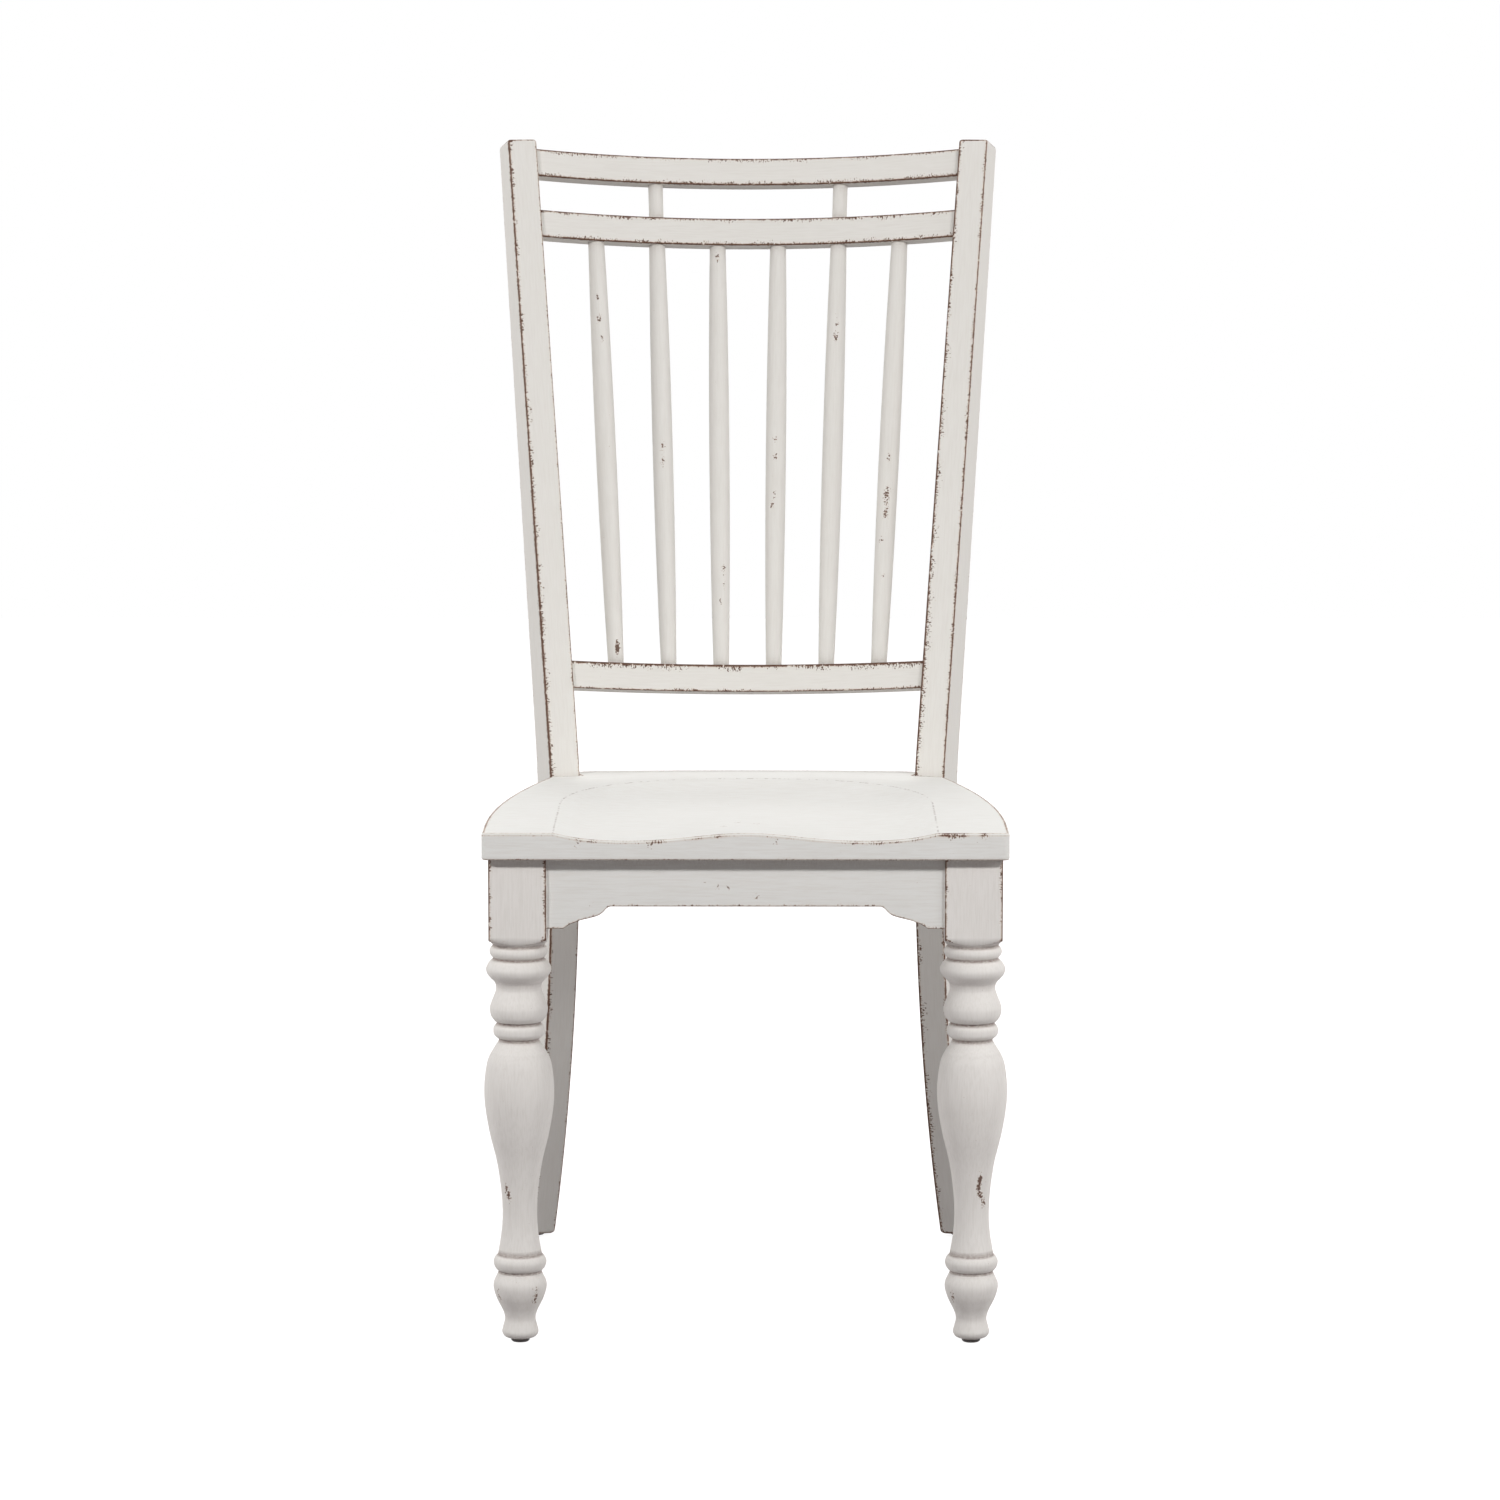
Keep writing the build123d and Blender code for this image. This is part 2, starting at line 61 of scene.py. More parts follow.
# Rear posts: each stands in its own upright plane, turned outward
post_turn_angle = 16.9
back_lean_angle = 14.4
post_width = 0.030
post_top_width = 0.029
post_foot_width = 0.027
post_depth = 0.052
post_top_depth = 0.0365
post_foot_depth = 0.042
foot_sweep = 0.105
post_bend_share = 0.9
post_ease = 0.002
post_top_rounding = 0.0032
post_foot_rounding = 0.005

# Rails of the back: a height is that of the top front corner where a rail meets a post
top_rail_height = total_height - 0.009
mid_rail_height = top_rail_height - 0.0594
lower_rail_height = seat_height + 0.1106
rail_radius = 0.514
rail_depth = 0.027
rail_thickness = 0.022
rail_setback = 0.004
rail_ease = 0.0015

# Spindles on each side of the middle: places of the feet as shares of the rail's half length, and how
# far out the heads stand as a share of that
inner_spindle_share = 0.151
long_spindle_share = 0.453
outer_spindle_share = 0.755
spindle_head_share = 0.978
spindle_foot_radius = 0.0077
spindle_belly_radius = 0.010
spindle_head_radius = 0.0079
spindle_pin_radius = 0.00725
spindle_belly_share = 0.55

# Seat
seat_thickness = 0.025
seat_widest_place = 0.053
seat_overhang = 0.012
seat_corner_radius = 0.005
seat_rear_corner_radius = 0.012
seat_rear_bow = 0.009
seat_ease = 0.002
scoop_width = 0.352
scoop_depth = 0.0082
scoop_straight_length = 0.188
scoop_length = 0.377
scoop_roundness = 2.4
scoop_wall_power = 6
scoop_rim_softness = 0.06
pommel_width = 0.065
pommel_length = 0.190

# Front legs: the turned part from the block down, as pairs of (share of the turned height, share of
# the largest radius), each row one straight stretch or one smooth curve
leg_block_size = 0.053
leg_block_height = 0.0757
leg_shoulder_drop = 0.0048
leg_ease = 0.0015
leg_shoulder_shares = (0.12, 0.5)
leg_largest_radius = 0.0323
leg_turning_shares = (
    ((1.000, 0.811), (0.993, 0.737)),
    ((0.990, 0.737), (0.984, 0.805), (0.976, 0.830), (0.968, 0.805), (0.960, 0.731)),
    ((0.957, 0.731), (0.949, 0.842), (0.934, 0.929), (0.920, 0.898), (0.907, 0.780)),
    ((0.905, 0.749), (0.897, 0.678), (0.886, 0.650), (0.874, 0.669), (0.843, 0.805), (0.829, 0.827),
     (0.813, 0.789), (0.801, 0.687)),
    ((0.800, 0.638), (0.795, 0.632)),
    ((0.793, 0.656), (0.786, 0.718), (0.777, 0.734), (0.767, 0.712), (0.758, 0.607)),
    ((0.757, 0.579), (0.751, 0.573)),
    ((0.750, 0.594), (0.711, 0.858), (0.676, 0.957), (0.630, 1.000), (0.582, 0.972), (0.517, 0.845),
     (0.448, 0.653), (0.380, 0.536), (0.319, 0.494), (0.270, 0.523), (0.212, 0.631)),
    ((0.2115, 0.645), (0.205, 0.718), (0.194, 0.759), (0.181, 0.724), (0.173, 0.650)),
    ((0.172, 0.619), (0.166, 0.619)),
    ((0.165, 0.638), (0.137, 0.765), (0.105, 0.690), (0.071, 0.502), (0.050, 0.440), (0.031, 0.486),
     (0.016, 0.523), (0.005, 0.458), (0.000, 0.325)),
)

# Aprons
apron_thickness = 0.020
apron_depth = 0.045
apron_setback = 0.004
side_apron_setback = 0.006
side_apron_rear_place = 0.017
rear_apron_place = 0.021
apron_ease = 0.001
bracket_length = 0.0586
bracket_drop = 0.0205
bracket_shares = ((0.263, 0), (0.374, 0.205), (0.457, 0.288), (0.520, 0.366), (0.765, 0.546),
                  (0.865, 0.688), (0.944, 0.917), (1, 1))
glide_thickness = 0.0035

# How finely the pieces are drawn, and how deep their hidden ends run into their neighbours
arris_steps = 4
edge_bands = (0.0007, 0.0018, 0.0045)
seat_bands = (0.0007, 0.0016, 0.0026)
spindle_sides = 32
spindle_step = 0.003
seat_grid = 0.006
apron_face_steps = 11
leg_face_steps = 11
turning_steps = 5
turning_step = 0.0025
foot_sweep_stations = 40
post_bend_stations = 9
post_lean_stations = 120
rail_stations = 121
apron_stations = 40
leg_block_stations = 30
bracket_curve_steps = 8
seat_front_points = 100
seat_corner_points = 6
seat_taper_points = 12
seat_side_points = 50
seat_notch_points = 8
seat_rear_points = 40
seat_chip_points = 6
seat_edge_shares = (0.1, 0.25, 0.5, 0.75, 0.9)
rail_end_tries = 12
sharpest_turn = 0.4
same_place = 1e-7
tucked_in = 0.001

# Wear: how much the paint is rubbed through on each arris, 1 being a usual one
post_rubs = {"left": (0.5, 1.35, 0.9, 0.6), "right": (1.85, 0.8, 0.9, 0.4)}
post_end_rub = 1.2
post_end_rings = 6
low_post_wear = 0.25
low_post_height = 0.90
low_post_blend = 0.25
block_rubs = (1.1, 1.1, 0.7, 0.7)
upper_rail_rubs = (0.8, 0.8, 1.4, 1.35)
lower_rail_rubs = (0.8, 0.8, 0.75, 2.5)
front_apron_rubs = (0.3, 0.5, 0.6, 0.2)
plain_apron_rubs = (0.4, 0.6, 0.6, 0.3)
seat_front_rub = 0.25
seat_side_rub = 0.55
seat_under_rub = 0.3
far_from_edge = 0.05
scuff_run = 2.5

# Glaze left where the paint wasn't wiped, and painted shade in the same warm grey: how much of it, and how
# far it reaches.
# The seat's rear edge and the spindles' ends get painted shade only; the corner under the seat and the
# turnings' grooves get both
# Painted shade along the seat's rear edge: how dark it is, and how far in it reaches
seat_rear_shade = 0.38
seat_rear_shade_reach = 0.022
# Painted shade at the spindles' ends, where they run into the rails
spindle_end_shade = 0.6
spindle_end_shade_reach = 0.003
# Glaze and painted shade in the corner under the seat's overhang
corner_glaze_and_shade = 0.5
corner_glaze_and_shade_reach = 0.006
# Glaze and painted shade in the turnings' grooves: how far round a groove is looked for, and how deep it must
# be
groove_reach = 0.0052
groove_depth = 0.0022

# Dark dashes along the seat's top front arris: (x, reach, how much more the paint is rubbed through)
seat_dashes = ((-0.153, 0.004, 0.4), (-0.140, 0.004, 0.5), (-0.080, 0.008, 0.6), (-0.043, 0.005, 0.5),
               (-0.026, 0.008, 0.6), (0.103, 0.010, 0.35), (0.122, 0.010, 0.5), (0.137, 0.004, 0.4),
               (0.158, 0.006, 0.4), (0.184, 0.010, 1.2), (0.199, 0.004, 1.1), (0.217, 0.004, 0.9))
seat_dash_depth = 0.008
under_line_gap = 0.0004

# The paint's pattern: ragged bites, breaks in the worn lines, patches of more wear, chips, brush marks and
# clouds of shade. Bristles leave marks of about 0.3 mm: these are drawn at 1.6 mm so that they show. Each
# piece lies a step further on in the pattern.
bite_size = 0.0013
break_size = 0.0045
patch_size = 0.020
chip_size = 0.0020
brush_size = 0.0016
cloud_size = 0.050
bite_stretch = (0.5, 0.5, 1)
brush_stretch = (1, 1, 0.07)
deepest_bite = 0.0032
widest_line = 0.0008
halo_reach = 0.0014
stain_depth = 0.0004
worn_softness = 0.0002
rim_line_width = 0.0012
relief = 0.0003
range_ends = ("From Min", "From Max", "To Min", "To Max")
pattern_step = Vector((0.31, 0.17, 0.23))

# Patterns of the hidden finishes, drawn out along z, and no finer than would show
hidden_stretch = (1, 1, 0.15)
sawn_grain_size = 0.006
zinc_crystal_size = 0.001
mould_texture_size = 0.0008

# Colours of what shows through the paint, and of what lies in it and on it. The glaze colour also paints
# shade in hollows and under the seat
glaze_and_shade_colour = "8F8079"
halo_colour = "BFA389"
streak_colour = "D6D1CA"
stain_colour = "9C7357"
dark_stain_colour = "553A2C"

# Places worked out from the sizes above
seat_underside = seat_height - seat_thickness
leg_x = seat_width / 2 - leg_inset
block_half = leg_block_size / 2
seat_front = -block_half - seat_overhang
lean = radians(back_lean_angle)
turn = radians(post_turn_angle)
post_side = Vector((cos(turn), -sin(turn), 0))
post_back = Vector((sin(turn), cos(turn), 0))
across_chair = Vector((1, 0, 0))
backward = Vector((0, 1, 0))
up = Vector((0, 0, 1))
lean_axis = Vector((0, sin(lean), cos(lean)))
lean_back = Vector((0, cos(lean), -sin(lean)))
post_corner = Vector((post_gap / 2, post_setback, 0))

# Chipped places: on the turned pieces (height, degrees round from the front, reach), and on the seat and
# the front apron (x, distance behind its front, height, reach)
leg_scuffs = {
    "left": ((0.146, 44, 0.0028), (0.1395, 33, 0.0024), (0.045, 55, 0.003), (0.044, -40, 0.004)),
    "right": ((0.1591, 24, 0.0022), (0.153, 21, 0.0024), (0.1485, 18, 0.0024), (0.1414, 22, 0.0021),
              (0.137, 34, 0.0024), (0.1325, 44, 0.0020), (0.046, -50, 0.003)),
}
spindle_scuffs = {
    1: ((0.938, 5, 0.002), (0.917, 5, 0.003), (0.898, -10, 0.002), (0.601, -19, 0.0028),
        (0.596, -15, 0.0024)),
    2: ((0.792, 0, 0.0025), (0.777, 0, 0.0025)),
    3: ((0.976, 0, 0.0025), (0.673, -24, 0.0025), (0.657, -24, 0.002), (0.6415, 0, 0.002)),
    4: ((0.798, -5, 0.002), (0.7815, 0, 0.0025), (0.745, -5, 0.002), (0.735, -20, 0.002)),
    5: ((0.914, 0, 0.002), (0.899, 0, 0.003)),
    6: ((0.7815, 0, 0.0025), (0.747, -3, 0.0045), (0.728, -5, 0.003), (0.703, -27, 0.002),
        (0.666, -5, 0.002)),
}
seat_scuffs = ((-0.0204, 0.066, seat_height - 0.002, 0.004), (-0.0074, 0.107, seat_height - 0.004, 0.004),
               (0.0092, 0.090, seat_height - 0.003, 0.004), (-0.153, 0, seat_height - 0.009, 0.003),
               (-0.086, 0, seat_height - 0.010, 0.004), (0.028, 0, seat_height - 0.007, 0.003))
apron_scuffs = ((-0.0265, 0, 0.4290, 0.003), (-0.0165, 0, 0.4285, 0.003), (-0.039, 0, 0.4320, 0.0025),
                (0.0096, 0, 0.4195, 0.0035), (-0.141, 0, 0.4125, 0.0025))


def spread(first, last, count):
    """Evenly spaced values, both ends included."""
    return [first + (last - first) * step / (count - 1) for step in range(count)]


def blend(first, last, share):
    """The value or point at a share of the way between two."""
    return first * (1 - share) + last * share


def smooth_step(value):
    """Zero below 0, one above 1, with a soft ramp between."""
    held = min(max(value, 0), 1)
    return held * held * (3 - 2 * held)


def mirrored(rings):
    """The same rings on the other side of the chair, turned to keep their outsides outward."""
    return [[(Vector((-point.x, point.y, point.z)), notes) for point, notes in reversed(ring)]
            for ring in rings]


def painted_piece(node, corners, faces, paint):
    """One painted piece in place of its node: corners are pairs of a place and its notes of wear, glaze and
    painted shade.
    """
    mesh = bpy.data.meshes.new(node)
    in_frame = Vector((0, leg_axis_y, 0))
    mesh.from_pydata([place + in_frame for place, _ in corners], [], faces)
    usual = {"arris": far_from_edge, "rub": 1.0, "scuff": 0.0, "groove": 0.0, "scoop": far_from_edge}
    for note, plain in usual.items():
        layer = mesh.attributes.new(note, "FLOAT", "POINT")
        layer.data.foreach_set("value", [notes.get(note, plain) for _, notes in corners])
    own_pattern = pattern_step * len(bpy.data.meshes)
    layer = mesh.attributes.new("grain", "FLOAT_VECTOR", "POINT")
    places = [value for _, notes in corners for value in notes["grain"] + own_pattern]
    layer.data.foreach_set("vector", places)
    mesh.materials.append(paint)
    mesh.shade_smooth()
    piece = bpy.data.objects.new(node + "_painted", mesh)
    bpy.context.collection.objects.link(piece)
    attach(piece, "root")
    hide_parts(node)


def walls(rows, count):
    """Outward faces between rows of corners, each row a closed ring of so many."""
    faces = []
    for row in range(rows - 1):
        for column in range(count):
            following = (column + 1) % count
            faces.append((row * count + column, row * count + following,
                          (row + 1) * count + following, (row + 1) * count + column))
    return faces


def skin(rings):
    """Corners and outward faces of a tube of rings, with a flat face on each end."""
    count = len(rings[0])
    corners = [corner for ring in rings for corner in ring]
    faces = walls(len(rings), count)
    faces.append(tuple(reversed(range(count))))
    faces.append(tuple(range(len(corners) - count, len(corners))))
    return corners, faces


def stick_section(width, depth, ease, face_steps=1):
    """A stick's outline from its corner: (across, through, distance from the arris, arris number)."""
    section = []
    quarters = ((0, 0, 1, 1, pi), (width, 0, -1, 1, -pi / 2),
                (width, depth, -1, -1, 0), (0, depth, 1, -1, pi / 2))
    ways = ((1, 0), (0, 1), (-1, 0), (0, -1))
    for number, (x, y, inward_x, inward_y, start) in enumerate(quarters):
        for share in spread(0, 1, arris_steps + 1):
            angle = start + share * pi / 2
            section.append((x + inward_x * ease + ease * cos(angle), y + inward_y * ease + ease * sin(angle),
                            abs(share - 0.5) * ease * pi / 2, number))
        along_x, along_y = ways[number]
        length = (width if along_x else depth) - ease * 2
        last_x, last_y, _, _ = section[-1]
        flat = spread(edge_bands[-1], length - edge_bands[-1], face_steps + 2)[1:-1]
        for band in list(edge_bands) + flat + [length - band for band in reversed(edge_bands)]:
            owner = number if band <= length / 2 else (number + 1) % len(ways)
            section.append((last_x + along_x * band, last_y + along_y * band,
                            min(band, length - band) + ease * pi / 4, owner))
    return section


def stick_rings(stations, ease, rubs, face_steps=1):
    """Rings of a stick through stations of (corner, end across, end through, place along the grain)."""
    rings = []
    for corner, across_end, through_end, place in stations:
        across = across_end - corner
        through = through_end - corner
        ring = []
        for a, b, nearest, number in stick_section(across.length, through.length, ease, face_steps):
            point = corner + across * (a / across.length) + through * (b / through.length)
            notes = {"arris": nearest, "rub": rubs[number], "grain": Vector((a, b, place))}
            ring.append((point, notes))
        rings.append(ring)
    return rings


def ring_middle(ring):
    """The middle of a ring."""
    return sum((point for point, _ in ring), Vector((0, 0, 0))) / len(ring)


def round_over(rings, radius, outward, least_side):
    """The rings with more of them, which round a stick's end over after its last ring."""
    last = rings[-1]
    middle = ring_middle(last)
    added = []
    for angle in spread(0, pi / 2, arris_steps + 1)[1:]:
        inset = radius * (1 - cos(angle))
        shrink = 1 - inset * 2 / least_side
        ring = []
        for point, notes in last:
            reach = min(abs(angle - pi / 4) * radius, notes["arris"] + inset)
            place = middle + (point - middle) * shrink + outward * (radius * sin(angle))
            ring.append((place, dict(notes, arris=reach)))
        added.append(ring)
    inner = added[-1]
    centre = ring_middle(inner)
    for band in edge_bands:
        shrink = 1 - band * 2 / least_side
        added.append([(centre + (point - centre) * shrink, dict(notes, arris=radius * pi / 4 + band))
                      for point, notes in inner])
    return rings + added


def bent_line(start, corner, tip, radius, steps):
    """Points of an arc that rounds the corner between two straight lines."""
    first = (start - corner).normalized()
    second = (tip - corner).normalized()
    half_angle = first.angle(second) / 2
    centre = corner + (first + second).normalized() * (radius / sin(half_angle))
    begin = corner + first * (radius / tan(half_angle)) - centre
    end = corner + second * (radius / tan(half_angle)) - centre
    sweep = begin.angle(end)
    return [centre + (begin * sin(sweep * (1 - share)) + end * sin(sweep * share)) / sin(sweep)
            for share in spread(0, 1, steps)]


def smooth_curve(points, steps):
    """A smooth line through points, with so many steps between two of them."""
    if len(points) == 2:
        return list(points)
    padded = [points[0] * 2 - points[1]] + points + [points[-1] * 2 - points[-2]]
    curve = []
    for before, first, last, after in zip(padded, padded[1:], padded[2:], padded[3:]):
        for share in spread(0, 1, steps + 1)[:-1]:
            bend = (first - last) * 3 + after - before
            curve.append(first + (last - before) * (share / 2)
                         + (before * 2 - first * 5 + last * 4 - after) * (share**2 / 2)
                         + bend * (share**3 / 2))
    return curve + [points[-1]]


def sweep_back(height, total):
    """How far back a sawn edge of a rear leg has swept at a height, if it ends so far back at the foot."""
    drop = seat_underside - glide_thickness
    radius = (total**2 + drop**2) / (2 * total)
    return radius - sqrt(radius**2 - (seat_underside - height) ** 2)


def post_edges():
    """Front and back edge of the right post in its own plane, as matching (set back, height) points."""
    tip = Vector(((total_height - seat_height) * tan(lean), total_height))
    tip_back = tip + Vector((cos(lean), -sin(lean))) * post_top_depth
    bend_radius = seat_thickness * post_bend_share / tan(lean / 2)
    foot_shift = post_foot_depth - post_depth
    heights = spread(glide_thickness + post_foot_rounding, seat_underside, foot_sweep_stations)
    front = [Vector((sweep_back(height, foot_sweep), height)) for height in heights]
    back = [Vector((post_depth + sweep_back(height, foot_sweep + foot_shift), height)) for height in heights]
    bends = ((front, Vector((0, seat_height)), tip), (back, Vector((post_depth, seat_height)), tip_back))
    for edge, corner, end in bends:
        edge += bent_line(edge[-1], corner, end, bend_radius, post_bend_stations)
        eased = end - (end - edge[-1]).normalized() * post_top_rounding
        edge += [blend(edge[-1], eased, share) for share in spread(0, 1, post_lean_stations)[1:]]
    return front, back


def post_width_at(height):
    """Width of a post, which tapers up and down from the seat."""
    if height > seat_height:
        return blend(post_width, post_top_width, (height - seat_height) / (total_height - seat_height))
    return blend(post_foot_width, post_width, (height - glide_thickness) / (seat_height - glide_thickness))


def post_rings(rubs):
    """Rings of the right rear post from its top down to its foot."""
    front, back = post_edges()
    stations = []
    gone = 0
    for step, (near, far) in enumerate(zip(front, back)):
        gone += (near - front[max(step - 1, 0)]).length
        corner = post_corner + post_back * near.x + up * near.y
        through = post_corner + post_back * far.x + up * far.y
        stations.append((corner, corner + post_side * post_width_at(near.y), through, gone))
    along_top = (front[-1] - front[-2]).normalized()
    outward = post_back * along_top.x + up * along_top.y
    rings = round_over(stick_rings(stations, post_ease, rubs), post_top_rounding, outward, post_top_width)
    for number, ring in enumerate(rings):
        for place, notes in ring:
            handled = 1 + low_post_wear * smooth_step((low_post_height - place.z) / low_post_blend)
            notes["rub"] *= post_end_rub if number >= len(rings) - post_end_rings else handled
    from_top = [list(reversed(ring)) for ring in reversed(rings)]
    return round_over(from_top, post_foot_rounding, -up, post_foot_width)


def post_place(height):
    """A place on the front inner arris of the right post."""
    return post_corner + post_back * ((height - seat_height) * tan(lean)) + up * height


def rail_place(height, radius, x, drop):
    """A place on a rail, so far below its top face and on an arc of a radius."""
    post = post_place(height)
    depth = rail_setback - sqrt(rail_radius**2 - post.x**2) + sqrt(radius**2 - x**2)
    return Vector((x, post.y, height)) + lean_back * depth - lean_axis * drop


def rail_end(height, radius, drop):
    """The x at which an arc of a rail has run a little into the right post."""
    x = post_place(height).x
    for _ in range(rail_end_tries):
        x -= (rail_place(height, radius, x, drop) - post_corner).dot(post_side) / post_side.x
    return x + tucked_in


def rail_rings(height, rubs):
    """Rings of a rail from its left end to its right end."""
    outer = rail_radius + rail_thickness
    stations = []
    for share in spread(-1, 1, rail_stations):
        corner, across, through = (rail_place(height, radius, share * rail_end(height, radius, drop), drop)
                                   for radius, drop in ((outer, 0), (outer, rail_depth), (rail_radius, 0)))
        stations.append((corner, across, through, share * rail_end(height, rail_radius, 0) + height))
    return stick_rings(stations, rail_ease, rubs)


def scuff_near(place, front, scuffs):
    """How chipped a place is, by scuffs of (x, distance behind a front, height, reach)."""
    return sum(exp(-(((place - Vector((x, front + behind, height))) / reach).length_squared))
               for x, behind, height, reach in scuffs)


def glaze_and_shade_under_seat(height):
    """How much glaze and painted shade lie at a height in the corner under the seat's overhang."""
    return exp((height - seat_underside) / corner_glaze_and_shade_reach) * corner_glaze_and_shade


def scuff_round(height, angle, radius, scuffs):
    """How chipped a turned piece is, by scuffs of (height, degrees round from the front, reach)."""
    total = 0
    for at, facing, reach in scuffs:
        round_by = (angle - radians(facing) + pi) % (2 * pi) - pi
        total += exp(-(((height - at) / reach / scuff_run) ** 2) - (round_by * radius / reach) ** 2)
    return total


def front_apron_rings():
    """Rings of the front apron from left to right, with the ogee bracket at each end."""
    end = leg_x - block_half
    straight = seat_underside - apron_depth
    toe = straight - bracket_drop
    bracket = smooth_curve([Vector((end - along * bracket_length, toe + rise * bracket_drop))
                            for along, rise in bracket_shares], bracket_curve_steps)
    half = [Vector((x, toe)) for x in (end + tucked_in, end, blend(end, bracket[0].x, 0.5))] + bracket
    half += [Vector((x, straight)) for x in spread(bracket[-1].x, 0, apron_stations)[1:]]
    outline = [Vector((-place.x, place.y)) for place in half[:-1]] + half[::-1]
    front = -block_half + apron_setback
    stations = []
    for x, bottom in outline:
        inner_top = Vector((x, front + apron_thickness, seat_underside))
        inner_bottom = Vector((x, front + apron_thickness, bottom))
        stations.append((inner_top, inner_bottom, Vector((x, front, seat_underside)), x))
    rings = stick_rings(stations, apron_ease, front_apron_rubs, apron_face_steps)
    for ring in rings:
        for place, notes in ring:
            notes["scuff"] = scuff_near(place, front, apron_scuffs)
            # Glaze and painted shade darken the apron's top under the seat's overhang
            notes["groove"] = glaze_and_shade_under_seat(place.z)
    return rings


def board_rings(start, end):
    """Rings of a straight apron between (outer, inner) corners of its top at its start and at its end."""
    stations = []
    for share in spread(0, 1, apron_stations):
        outer = blend(start[0], end[0], share)
        inner = blend(start[1], end[1], share)
        stations.append((inner, inner - up * apron_depth, outer, share * (end[0] - start[0]).length))
    return stick_rings(stations, apron_ease, plain_apron_rubs)


def meet(point, direction, on_plane, normal):
    """Where a line through a point meets a plane."""
    return point + direction * ((on_plane - point).dot(normal) / direction.dot(normal))


def side_apron_rings():
    """Rings of the right side apron, cut at a slant against the leg block and the post."""
    outer_face = leg_x + block_half - side_apron_setback
    start = Vector((outer_face - apron_thickness / 2, block_half, seat_underside))
    end = post_corner + post_side * side_apron_rear_place + up * seat_underside
    along = (end - start).normalized()
    out = Vector((along.y, -along.x, 0)) * (apron_thickness / 2)
    leg_face = Vector((leg_x, block_half - tucked_in, 0))
    post_face = post_corner + post_back * tucked_in
    firsts = [meet(start + offset, along, leg_face, backward) for offset in (out, -out)]
    lasts = [meet(start + offset, along, post_face, post_back) for offset in (out, -out)]
    return board_rings(firsts, lasts)


def rear_apron_rings():
    """Rings of the rear apron between the posts."""
    middle = post_corner + post_back * rear_apron_place + up * seat_underside
    post_face = post_corner + post_side * tucked_in
    half = Vector((0, apron_thickness / 2, 0))
    ends = [meet(middle + offset, across_chair, post_face, post_side) for offset in (half, -half)]
    starts = [Vector((-end.x, end.y, end.z)) for end in ends]
    return board_rings(starts, ends)


def spindle_radius(along):
    """Radius of a spindle at a share of its length between the rails: a gentle belly."""
    belly = spindle_belly_share
    foot = spindle_foot_radius * (along - belly) * (along - 1) / belly
    middle = spindle_belly_radius * along * (1 - along) / (belly * (1 - belly))
    return foot + middle + spindle_head_radius * along * (along - belly) / (1 - belly)


def spindle_rings(share, scuffs):
    """Rings of a right-hand spindle from the lower rail up, its ends tucked into the rails."""
    middle = rail_radius + rail_thickness / 2
    foot = rail_place(lower_rail_height, middle, post_place(lower_rail_height).x * share, 0)
    head_x = post_place(mid_rail_height).x * share * spindle_head_share
    head = rail_place(mid_rail_height, middle, head_x, rail_depth)
    length = (head - foot).length
    axis = (head - foot).normalized()
    reach = length
    if share == long_spindle_share:
        under_top = rail_place(top_rail_height, middle, head_x, rail_depth)
        reach = (under_top - foot).dot(lean_axis) / axis.dot(lean_axis)
    side = axis.cross(Vector((0, -1, 0))).normalized()
    front = side.cross(axis)
    rings = []
    run_in = spindle_foot_radius
    for place in spread(-run_in, reach + run_in, int(reach / spindle_step)):
        beyond = place > length + rail_depth / 2
        radius = spindle_pin_radius if beyond else spindle_radius(min(max(place / length, 0), 1))
        ends = (0, length) if not beyond else (length + rail_depth, reach)
        nearness = min(abs(place - end) for end in ends)
        centre = foot + axis * place
        ring = []
        for angle in spread(0, 2 * pi, spindle_sides + 1)[:-1]:
            direction = side * cos(angle) - front * sin(angle)
            # Painted shade darkens the spindle near its ends, where it runs into the rails
            notes = {"groove": exp(-nearness / spindle_end_shade_reach) * spindle_end_shade,
                     "scuff": scuff_round(centre.z, angle + pi / 2, radius, scuffs),
                     "grain": Vector((cos(angle) * radius + share, sin(angle) * radius, place))}
            ring.append((centre + direction * radius, notes))
        rings.append(ring)
    return rings


def leg_outline():
    """Half outline of the turned part of a leg from the shoulder down: (radius, height, glaze and painted
    shade in the hollows).
    """
    turned_height = seat_underside - leg_block_height - leg_shoulder_drop - glide_thickness
    line = []
    for row in leg_turning_shares:
        points = [Vector((radius * leg_largest_radius, glide_thickness + height * turned_height))
                  for height, radius in row]
        stretch = (points[0].y - points[-1].y) / (len(points) - 1)
        line += smooth_curve(points, max(turning_steps, round(stretch / turning_step)))
    # Glaze and painted shade in the hollows of the turning
    glazed_and_shaded = []
    for radius, height in line:
        nearby = [other.x for other in line if abs(other.y - height) < groove_reach]
        hollow = sum(nearby) / len(nearby) - radius
        glazed_and_shaded.append((radius, height, smooth_step(hollow / groove_depth)))
    return glazed_and_shaded


